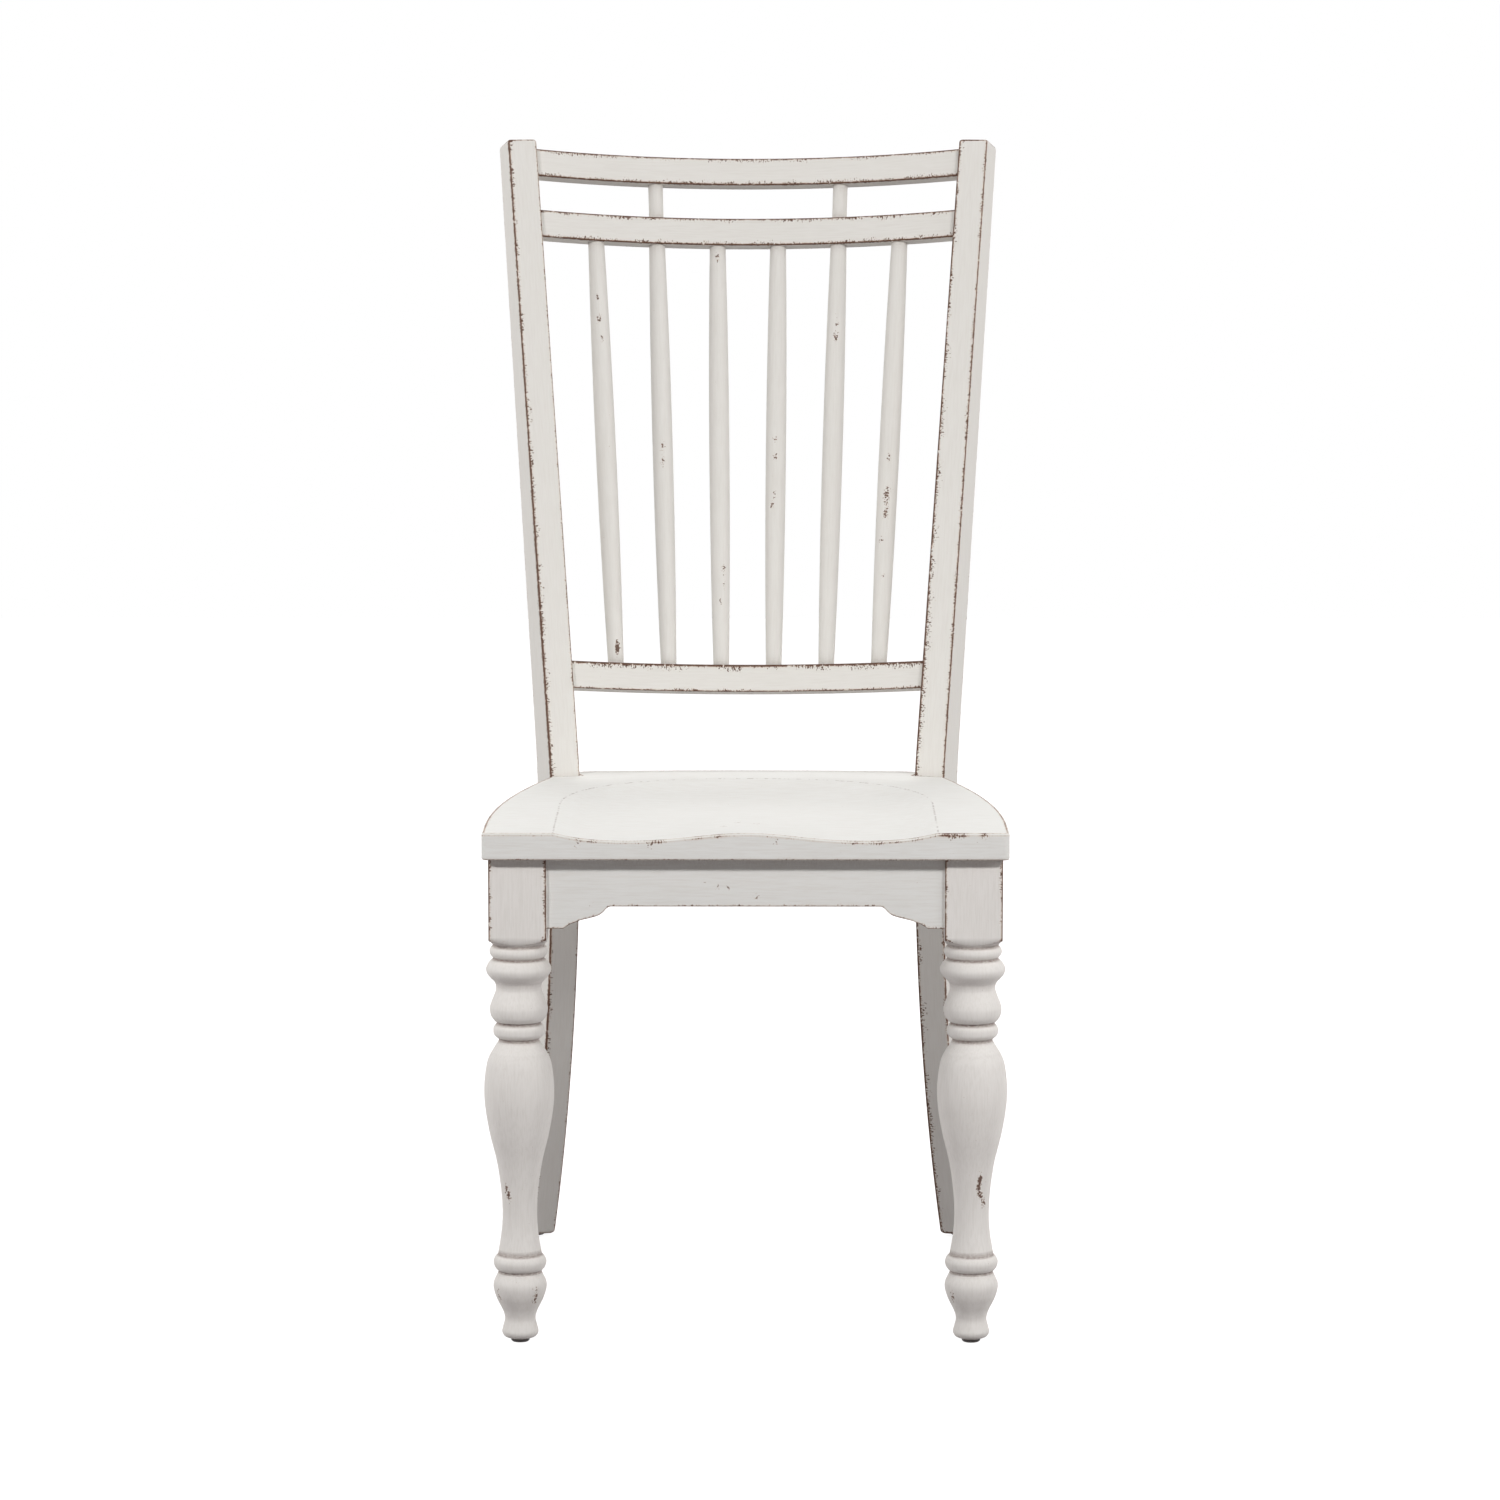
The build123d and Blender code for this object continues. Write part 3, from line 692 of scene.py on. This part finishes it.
def leg_rings(scuffs):
    """Rings of the right front leg from its square top to its turned toe."""
    square = stick_section(leg_block_size, leg_block_size, leg_ease, leg_face_steps)
    section = [(x - block_half, y - block_half, nearest, number) for x, y, nearest, number in square]
    shoulder = seat_underside - leg_block_height
    outline = leg_outline()
    first_radius = outline[0][0]
    corner_radius = hypot(block_half, block_half)
    slope = leg_shoulder_drop / (corner_radius - first_radius)
    rings = []
    for height in spread(seat_underside, shoulder, leg_block_stations):
        ring = []
        for x, y, nearest, number in section:
            cone = shoulder - (corner_radius - hypot(x, y)) * slope
            place = Vector((x, y, height if height > shoulder else cone))
            under = max(min(height - cone, far_from_edge), 0)
            # Glaze and painted shade darken the block's top under the seat's overhang
            notes = {"arris": min(nearest, under), "rub": block_rubs[number], "grain": place,
                     "groove": glaze_and_shade_under_seat(height)}
            ring.append((place, notes))
        rings.append(ring)
    # The shoulder's step gets glaze and painted shade
    for share in leg_shoulder_shares:
        ring = []
        for x, y, _, _ in section:
            radius = blend(hypot(x, y), first_radius, share)
            angle = atan2(y, x)
            cone = shoulder - (corner_radius - radius) * slope
            place = Vector((radius * cos(angle), radius * sin(angle), cone))
            ring.append((place, {"groove": share, "grain": place}))
        rings.append(ring)
    for radius, height, glaze_and_shade in outline:
        ring = []
        for x, y, _, _ in section:
            angle = atan2(y, x)
            place = Vector((radius * cos(angle), radius * sin(angle), height))
            scuff = scuff_round(height, angle + pi / 2, radius, scuffs)
            ring.append((place, {"groove": glaze_and_shade, "scuff": scuff, "grain": place}))
        rings.append(ring)
    axis = Vector((leg_x, 0, 0))
    return [[(axis + place, notes) for place, notes in reversed(ring)] for ring in rings]


def scoop_reach(x, y):
    """How far out a place lies in the scoop's plan: 0 in its middle, 1 on its rim."""
    across = abs(x) / (scoop_width / 2)
    along = max(y - seat_front - scoop_straight_length, 0) / (scoop_length - scoop_straight_length)
    return (across**scoop_roundness + along**scoop_roundness) ** (1 / scoop_roundness)


def scoop_height(x, y):
    """Height of the scooped seat surface: a dished hollow, open at the front, with a raised middle."""
    wall = max(1 - scoop_reach(x, y) ** scoop_wall_power, 0)
    fall = wall**2 * (1 + scoop_rim_softness) / (wall + scoop_rim_softness)
    pommel = (1 - smooth_step((y - seat_front) / pommel_length)) * exp(-((x / pommel_width) ** 2))
    return seat_height - scoop_depth * fall * (1 - pommel)


def past_scoop(x, y):
    """How far outside the scoop's rim a place on the seat lies."""
    return (scoop_reach(x, y) - 1) * scoop_width / 2


def seat_outline():
    """Plan of the seat, anticlockwise: straight front, bowed sides and rear, notches for the posts."""
    half = seat_width / 2
    widest = Vector((half, seat_front + seat_widest_place))
    outer = (post_corner + post_side * post_width).to_2d()
    inner = post_corner.to_2d()
    horn = inner + post_back.to_2d() * ((seat_rear - seat_rear_bow - inner.y) / cos(turn))
    right = [Vector((x, seat_front)) for x in spread(0, half - seat_corner_radius, seat_front_points)]
    front_corner = Vector((half, seat_front))
    right += bent_line(right[-1], front_corner, widest, seat_corner_radius, seat_corner_points)[1:]
    right += [blend(right[-1], widest, share) for share in spread(0, 1, seat_taper_points)[1:]]
    reach = outer - widest
    side_radius = reach.length_squared / (-2 * reach.x)
    right += [widest + Vector((cos(angle) - 1, sin(angle))) * side_radius
              for angle in spread(0, atan2(reach.y, side_radius + reach.x), seat_side_points)[1:]]
    right += [blend(outer, inner, share) for share in spread(0, 1, seat_notch_points)[1:]]
    middle = Vector((0, seat_rear))
    turned_in = bent_line(inner, horn, middle, seat_rear_corner_radius, seat_corner_points + 1)
    right += [blend(inner, turned_in[0], share) for share in spread(0, 1, seat_corner_points)[1:-1]]
    right += turned_in
    rear_radius = (horn.x**2 + seat_rear_bow**2) / (2 * seat_rear_bow)
    right += [Vector((x, seat_rear - rear_radius + sqrt(rear_radius**2 - x**2)))
              for x in spread(turned_in[-1].x, 0, seat_rear_points)[1:]]
    left = [Vector((-point.x, point.y)) for point in reversed(right[1:-1])]
    return right + left


def drawn_in(outline, amount):
    """The outline moved inward, each corner along the mean of its two sides' normals."""
    moved = []
    for before, point, after in zip(outline[-1:] + outline[:-1], outline, outline[1:] + outline[:1]):
        first = (point - before).normalized()
        mean = (first + (after - point).normalized()).normalized()
        moved.append(point + Vector((-mean.y, mean.x)) * (amount / max(mean.dot(first), sharpest_turn)))
    return moved


def inside(point, outline):
    """True where a point lies inside a closed outline."""
    crossed = False
    for first, last in zip(outline, outline[1:] + outline[:1]):
        if (first.y > point.y) != (last.y > point.y):
            if point.x < first.x + (point.y - first.y) / (last.y - first.y) * (last.x - first.x):
                crossed = not crossed
    return crossed


def seat_rub(point):
    """How much the paint is rubbed through on the seat's edge near a place."""
    usual = blend(seat_front_rub, seat_side_rub, smooth_step((point.y - seat_front) / seat_widest_place))
    behind = (point.y - seat_front) / seat_dash_depth
    dashes = (more * exp(-(((point.x - x) / reach) ** 2) - behind**2) for x, reach, more in seat_dashes)
    return usual + sum(dashes)


def painted_shade_at_seat_rear(point):
    """How much painted shade lies near the rear edge of the seat's top at a place: a grey band standing for
    the shade there.
    """
    edge = seat_rear - seat_rear_bow * (point.x / post_corner.x) ** 2
    return smooth_step(1 + (point.y - edge) / seat_rear_shade_reach) * seat_rear_shade


def seat_notes(place, reach, share):
    """Wear, glaze and painted-shade notes of a place on the seat, so far from an arris and at a share of the
    seat's height.
    """
    # Painted shade darkens the band along the seat's rear edge
    return {"arris": reach, "rub": seat_rub(place) if share > 0.5 else seat_under_rub, "grain": place.yzx,
            "groove": painted_shade_at_seat_rear(place), "scuff": scuff_near(place, seat_front, seat_scuffs),
            "scoop": past_scoop(place.x, place.y) if share == 1 else far_from_edge}


def seat_rim():
    """Rings of the seat's underside rim, its edge and the band along the edge of its top."""
    outline = seat_outline()
    quarter = spread(0, pi / 2, arris_steps + 1)
    edge = seat_thickness - 2 * seat_ease
    # Each step: (way in from the outline, share of the edge's height, lift over it, distance from the arris)
    steps = [(seat_ease + band, 0, 0, band + seat_ease * pi / 4) for band in reversed(seat_bands)]
    steps += [(seat_ease * (1 - sin(angle)), 0, seat_ease * (1 - cos(angle)), abs(angle - pi / 4) * seat_ease)
              for angle in quarter]
    steps += [(0, share, seat_ease, min(share, 1 - share) * edge) for share in seat_edge_shares]
    steps += [(seat_ease * (1 - cos(angle)), 1, seat_ease * (1 + sin(angle)),
               min(angle * seat_ease + under_line_gap, (pi / 2 - angle) * seat_ease)) for angle in quarter]
    steps += [(seat_ease + band, 1, seat_ease * 2, band) for band in seat_bands]
    rings = []
    for inset, share, lift, reach in steps:
        ring = []
        for point in drawn_in(outline, inset):
            top = scoop_height(point.x, point.y) - seat_ease * 2
            place = Vector((point.x, point.y, blend(seat_underside, top, share) + lift))
            ring.append((place, seat_notes(place, reach, share)))
        rings.append(ring)
    return rings


def make_seat(paint):
    """The saddle seat: its rim as rings, and its scooped top filled in with an even grid."""
    rings = seat_rim()
    count = len(rings[0])
    corners = [corner for ring in rings for corner in ring]
    faces = walls(len(rings), count)
    faces.append(tuple(reversed(range(count))))
    rim = [place.to_2d() for place, _ in rings[-1]]
    grid, reaches = [], []
    for y in spread(seat_front, seat_rear, int((seat_rear - seat_front) / seat_grid)):
        for x in spread(-seat_width / 2, seat_width / 2, int(seat_width / seat_grid)):
            point = Vector((x, y))
            reach = min((point - corner).length for corner in rim)
            if reach > seat_grid / 2 and inside(point, rim):
                grid.append(point)
                reaches.append(reach + seat_bands[-1])
    for x, behind, _, reach in seat_scuffs:
        if behind > seat_grid:
            for angle in spread(0, 2 * pi, seat_chip_points + 1)[1:]:
                across = x + cos(angle) * reach / 2
                grid.append(Vector((across, seat_front + behind + sin(angle) * reach / 2)))
                reaches.append(far_from_edge)
    edges = [(step, (step + 1) % count) for step in range(count)]
    flat, _, triangles, sources, _, _ = delaunay_2d_cdt(rim + grid, edges, [], 1, same_place)
    first_of_rim = len(corners) - count
    index = []
    for point, origins in zip(flat, sources):
        source = origins[0]
        index.append(first_of_rim + source if source < count else len(corners))
        if source >= count:
            place = Vector((point.x, point.y, scoop_height(point.x, point.y)))
            corners.append((place, seat_notes(place, reaches[source - count], 1)))
    faces += [tuple(index[number] for number in triangle) for triangle in triangles]
    painted_piece("seat", corners, faces, paint)


def linear(code):
    """The linear colour of an sRGB hex code."""
    channels = [int(code[place:place + 2], 16) / 255 for place in (0, 2, 4)]
    return [value / 12.92 if value <= 0.04045 else ((value + 0.055) / 1.055) ** 2.4
            for value in channels] + [1]


def new_material(name):
    """An empty node material and its node tree."""
    material = bpy.data.materials.new(name)
    material.use_nodes = True
    material.node_tree.nodes.clear()
    return material, material.node_tree


def add_node(tree, kind, settings=None, links=None, output=0):
    """Adds a node with its settings or socket values and the outputs that feed it, and gives its output."""
    node = tree.nodes.new("ShaderNode" + kind)
    for name, value in (settings or {}).items():
        if isinstance(name, int) or name in node.inputs:
            node.inputs[name].default_value = value
        else:
            setattr(node, name, value)
    for name, source in (links or {}).items():
        tree.links.new(source, node.inputs[name])
    return None if output is None else node.outputs[output]


def rubbed_arrises(tree, arris, rub, bites, breaks, patches):
    """How far the bare wood reaches past each point, and the shares of it and of the thinned paint round it.

    A thin broken line runs along the arris, with ragged bites in patches.
    """
    patchy, bitten, lined = (
        add_node(tree, "MapRange", dict(zip(range_ends, ends)), {"Value": noise})
        for noise, ends in ((patches, (0.40, 0.58, 0.45, 1.2)), (bites, (0.45, 0.68, 0, deepest_bite)),
                            (breaks, (0.33, 0.48, 0, widest_line))))
    bitten = add_node(tree, "Math", {"operation": "MULTIPLY"}, {0: patchy, 1: bitten})
    furthest = add_node(tree, "Math", {"operation": "MAXIMUM"}, {0: bitten, 1: lined})
    reach = add_node(tree, "Math", {"operation": "MULTIPLY"}, {0: furthest, 1: rub})
    bare_by = add_node(tree, "Math", {"operation": "SUBTRACT"}, {0: reach, 1: arris})
    worn, halo = (add_node(tree, "MapRange", dict(zip(range_ends, ends)), {"Value": bare_by})
                  for ends in ((-worn_softness, worn_softness, 0, 1), (-halo_reach, 0, 0, 0.35)))
    return bare_by, worn, halo


def chipped_places(tree, scuff, chips):
    """The shares of chipped paint, of thinned paint round it and of dark old wood in its middle.

    Chips stand where the noise peaks, and near a scuff where it is only high.
    """
    level = add_node(tree, "Math", {"operation": "MULTIPLY_ADD", 1: 0.29}, {0: scuff, 2: chips})
    return [add_node(tree, "MapRange", dict(zip(range_ends, ends)), {"Value": level})
            for ends in ((0.75, 0.77, 0, 0.95), (0.72, 0.75, 0, 0.25), (0.77, 0.79, 0, 1))]


def glaze_and_shade_in_hollows(tree, groove, scoop, bites, breaks):
    """The share of glaze and painted shade in the grooves and under the seat, of painted shade at the
    spindles' ends and the seat's rear edge, and of a faint dotted line along the rim of the scoop.
    """
    from_rim = add_node(tree, "Math", {"operation": "ABSOLUTE"}, {0: scoop})
    patchy, rim_line, dots = (
        add_node(tree, "MapRange", dict(zip(range_ends, ends)), {"Value": source})
        for source, ends in ((bites, (0.3, 0.6, 0.5, 1)), (from_rim, (0, rim_line_width, 0.8, 0)),
                             (breaks, (0.52, 0.56, 0, 1))))
    glaze_and_shade = add_node(tree, "Math", {"operation": "MULTIPLY"}, {0: groove, 1: patchy})
    rim_line = add_node(tree, "Math", {"operation": "MULTIPLY"}, {0: rim_line, 1: dots})
    return add_node(tree, "Math", {"operation": "MAXIMUM"}, {0: glaze_and_shade, 1: rim_line})


def brushed_chalk_paint(name, coat, shade):
    """White chalk paint brushed over a red-brown stain and sanded through at the arrises.

    It gives a soft matt white with faint brush marks, broken brown lines with small ragged bites along the
    edges, a few dark chips, and a warm grey glaze and painted shade in the grooves, under the seat, at the
    spindles' ends and along the seat's rear edge.
    """
    material, tree = new_material(name)
    arris, rub, scuff, groove, scoop = (
        add_node(tree, "Attribute", {"attribute_name": note}, output="Fac")
        for note in ("arris", "rub", "scuff", "groove", "scoop"))
    place = add_node(tree, "Attribute", {"attribute_name": "grain"}, output="Vector")
    toothed, brushed = (
        add_node(tree, "VectorMath", {"operation": "MULTIPLY", 1: stretch}, {0: place})
        for stretch in (bite_stretch, brush_stretch))
    bites, breaks, patches, chips, brush, clouds = (
        add_node(tree, "TexNoise", {"Scale": 1 / size, "Detail": 3, "Roughness": 0.6}, {"Vector": vector})
        for size, vector in ((bite_size, toothed), (break_size, place), (patch_size, place),
                             (chip_size, place), (brush_size, brushed), (cloud_size, place)))
    bare_by, worn, halo = rubbed_arrises(tree, arris, rub, bites, breaks, patches)
    chipped, chip_halo, chip_depth = chipped_places(tree, scuff, chips)
    glaze_and_shade = glaze_and_shade_in_hollows(tree, groove, scoop, bites, breaks)
    bare = add_node(tree, "Math", {"operation": "MAXIMUM"}, {0: worn, 1: chipped})
    thin = add_node(tree, "Math", {"operation": "MAXIMUM"}, {0: halo, 1: chip_halo})

    # Coat, brush streaks, glaze and painted shade, thinned paint and bare stain, one over the other
    streaks = add_node(tree, "MapRange",
                       {"From Min": 0.42, "From Max": 0.68, "To Max": 0.35}, {"Value": brush})
    colour = add_node(tree, "Mix", {"data_type": "RGBA", 6: linear(coat), 7: linear(shade)}, {0: clouds}, 2)
    for share, over in ((streaks, streak_colour), (glaze_and_shade, glaze_and_shade_colour), (thin, halo_colour)):
        settings = {"data_type": "RGBA", 7: linear(over)}
        colour = add_node(tree, "Mix", settings, {0: share, 6: colour}, 2)
    depth = add_node(tree, "MapRange", {"From Max": stain_depth}, {"Value": bare_by})
    depth = add_node(tree, "Math", {"operation": "MAXIMUM"}, {0: depth, 1: chip_depth})
    settings = {"data_type": "RGBA", 6: linear(stain_colour), 7: linear(dark_stain_colour)}
    stain = add_node(tree, "Mix", settings, {0: depth}, 2)
    colour = add_node(tree, "Mix", {"data_type": "RGBA"}, {0: bare, 6: colour, 7: stain}, 2)

    roughness = add_node(tree, "MapRange", {"To Min": 0.65, "To Max": 0.80}, {"Value": brush})
    height = add_node(tree, "Math", {"operation": "SUBTRACT"}, {0: brush, 1: bare})
    bump = add_node(tree, "Bump", {"Strength": 0.25, "Distance": relief}, {"Height": height})
    shader = add_node(tree, "BsdfPrincipled", {"IOR": 1.5},
                      {"Base Color": colour, "Roughness": roughness, "Normal": bump})
    add_node(tree, "OutputMaterial", links={"Surface": shader}, output=None)
    return material


def hidden_finish(name, first, last, grain_size, roughness, metallic):
    """A two-tone finish for the pieces under the seat and under the feet."""
    material, tree = new_material(name)
    place = add_node(tree, "TexCoord", output="Object")
    grain = add_node(tree, "VectorMath", {"operation": "MULTIPLY", 1: hidden_stretch}, {0: place})
    tone = add_node(tree, "TexNoise", {"Scale": 1 / grain_size, "Detail": 4}, {"Vector": grain})
    colour = add_node(tree, "Mix", {"data_type": "RGBA", 6: linear(first), 7: linear(last)}, {0: tone}, 2)
    bump = add_node(tree, "Bump", {"Strength": 0.15, "Distance": relief}, {"Height": tone})
    shader = add_node(tree, "BsdfPrincipled", {"Roughness": roughness, "Metallic": metallic},
                      {"Base Color": colour, "Normal": bump})
    add_node(tree, "OutputMaterial", links={"Surface": shader}, output=None)
    return material


# The seat and its aprons have a cooler white than the turned and sawn pieces of legs and back. All three are
# copies of one white
# paint: the legs' copy is painted lighter and the back's darker, standing in for how the light falls on them
seat_paint = brushed_chalk_paint("brushed_white_chalk_paint", "E8E7E4", "E3E2DE")
leg_paint_painted_lighter = brushed_chalk_paint("brushed_ivory_chalk_paint", "EBE7E3", "E6E2DD")
frame_paint_painted_darker = brushed_chalk_paint("brushed_antique_white_chalk_paint", "E3E0DB", "DFDCD6")

# Sawn maple, left bare: a dull pale tan with darker grain. Zinc plate: a grey metal with a soft, slightly
# cloudy shine. Moulded nylon: a near black brown with a low sheen.
bare_maple = hidden_finish("sawn_maple", "C9A77C", "B48E62", sawn_grain_size, 0.65, 0)
zinc = hidden_finish("zinc_plated_steel", "B9BAB6", "A6A7A3", zinc_crystal_size, 0.35, 1)
nylon = hidden_finish("moulded_brown_nylon", "2A221F", "352B27", mould_texture_size, 0.5, 0)

for side in ("right", "left"):
    made = (("rear_post_", post_rings(post_rubs[side]), frame_paint_painted_darker),
            ("front_leg_", leg_rings(leg_scuffs[side]), leg_paint_painted_lighter),
            ("side_apron_", side_apron_rings(), seat_paint))
    for name, rings, paint in made:
        painted_piece(name + side, *skin(mirrored(rings) if side == "left" else rings), paint)

rails = (("top_rail", top_rail_height, upper_rail_rubs),
         ("mid_rail", mid_rail_height, upper_rail_rubs),
         ("lower_rail", lower_rail_height, lower_rail_rubs))
for name, height, rubs in rails:
    painted_piece(name, *skin(rail_rings(height, rubs)), frame_paint_painted_darker)

# Spindles are numbered from the left, and made in pairs from the middle outward
for pair, share in enumerate((inner_spindle_share, long_spindle_share, outer_spindle_share)):
    right, left = 4 + pair, 3 - pair
    painted_piece(f"spindle_{right}", *skin(spindle_rings(share, spindle_scuffs[right])), frame_paint_painted_darker)
    painted_piece(f"spindle_{left}", *skin(mirrored(spindle_rings(share, spindle_scuffs[left]))), frame_paint_painted_darker)

painted_piece("front_apron", *skin(front_apron_rings()), seat_paint)
painted_piece("rear_apron", *skin(rear_apron_rings()), seat_paint)
make_seat(seat_paint)

# Hidden pieces keep their own meshes: the first of these that a node's name starts with is its finish
finishes = {"corner_block_screws": zinc, "seat_screws": zinc, "corner_block": bare_maple, "foot_glide": nylon}
for name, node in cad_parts.items():
    finish = next((finishes[kind] for kind in finishes if name.startswith(kind)), None)
    if finish:
        node.data.materials.clear()
        node.data.materials.append(finish)


def seen_or_reflected(tree):
    """One for rays from the camera and for those that gloss or glass sends on, otherwise zero."""
    seen, glossy, passed = (add_node(tree, "LightPath", output=ray)
                            for ray in ("Is Camera Ray", "Is Glossy Ray", "Is Transmission Ray"))
    either = add_node(tree, "Math", {"operation": "MAXIMUM"}, {0: seen, 1: glossy})
    return add_node(tree, "Math", {"operation": "MAXIMUM"}, {0: either, 1: passed})


# Floor: pale, white to the camera and a little less so near the chair, whose soft shadow lies there
floor_half = 6.0
floor_mesh = bpy.data.meshes.new("floor")
floor_corners = [(x * floor_half, y * floor_half, 0) for x, y in ((-1, -1), (1, -1), (1, 1), (-1, 1))]
floor_mesh.from_pydata(floor_corners, [], [(0, 1, 2, 3)])
floor = bpy.data.objects.new("floor", floor_mesh)
bpy.context.collection.objects.link(floor)
floor_material, tree = new_material("pale_floor")
seen = seen_or_reflected(tree)
place = add_node(tree, "TexCoord", output="Object")
nearness = add_node(tree, "TexGradient", {"gradient_type": "SPHERICAL"}, {"Vector": place})
white = add_node(tree, "MapRange", {"To Min": 1.0, "To Max": 0.86}, {"Value": nearness})
lift = add_node(tree, "Math", {"operation": "MULTIPLY"}, {0: seen, 1: white})
matt = add_node(tree, "BsdfDiffuse", {"Color": linear("9A9697")})
glow = add_node(tree, "Emission", {"Color": (1, 1, 1, 1)}, {"Strength": lift})
both = add_node(tree, "AddShader", links={0: matt, 1: glow})
add_node(tree, "OutputMaterial", links={"Surface": both}, output=None)
floor_mesh.materials.append(floor_material)

# Surroundings: dim on the chair, white to the camera
world = bpy.data.worlds.new("studio")
bpy.context.scene.world = world
world.use_nodes = True
tree = world.node_tree
tree.nodes.clear()
seen = seen_or_reflected(tree)
soft = add_node(tree, "Background", {"Color": (1, 1, 1, 1), "Strength": 0.02})
plain = add_node(tree, "Background", {"Color": (1, 1, 1, 1), "Strength": 1.0})
mixed = add_node(tree, "MixShader", links={0: seen, 1: soft, 2: plain})
add_node(tree, "OutputWorld", links={"Surface": mixed}, output=None)

# Soft lamps that face the chair: (name, azimuth, elevation, distance, width, height, power). Azimuth 0 is
# in front of it and 90 on its right.
chair_middle = Vector((0, 0, 0.55))
soft_lamps = (
    ("front_left", -40, 27, 4, 0.6, 0.3, 67),
    ("front_right", 40, 27, 4, 0.6, 0.3, 64),
    ("right", 62, 17, 4, 0.8, 0.4, 21),
    ("left_side", -88, 20, 3, 1.0, 0.8, 22),
    ("right_side", 88, 20, 3, 1.0, 0.8, 14),
    ("left_rear", -118, 15, 3.5, 1.0, 0.8, 12),
    ("right_rear", 118, 15, 3.5, 1.0, 0.8, 13),
    ("overhead", 180, 82, 4.5, 3.0, 3.0, 38),
    ("back", 180, 35, 4.5, 3.0, 2.0, 70),
)
for name, azimuth, elevation, distance, width, height, power in soft_lamps:
    lamp = bpy.data.lights.new(name, "AREA")
    lamp.shape = "RECTANGLE"
    lamp.size = width
    lamp.size_y = height
    lamp.energy = power
    flat = cos(radians(elevation))
    away = Vector((flat * sin(radians(azimuth)), -flat * cos(radians(azimuth)), sin(radians(elevation))))
    holder = bpy.data.objects.new(name, lamp)
    holder.location = chair_middle + away * distance
    holder.rotation_euler = (-away).to_track_quat("-Z", "Y").to_euler()
    bpy.context.collection.objects.link(holder)

# Camera: in front of the chair, a little over its top, looking down at it
camera_place = (0.0231, -5.7354, 1.2616)
camera_pitch = 7.388
camera_yaw = 0.2
camera = bpy.data.cameras.new("camera")
camera.sensor_width = 36
camera.lens = 144.42
holder = bpy.data.objects.new("camera", camera)
holder.location = camera_place
holder.rotation_euler = (radians(90 - camera_pitch), 0, radians(camera_yaw))
bpy.context.collection.objects.link(holder)
bpy.context.scene.camera = holder
bpy.context.scene.view_settings.view_transform = "Standard"
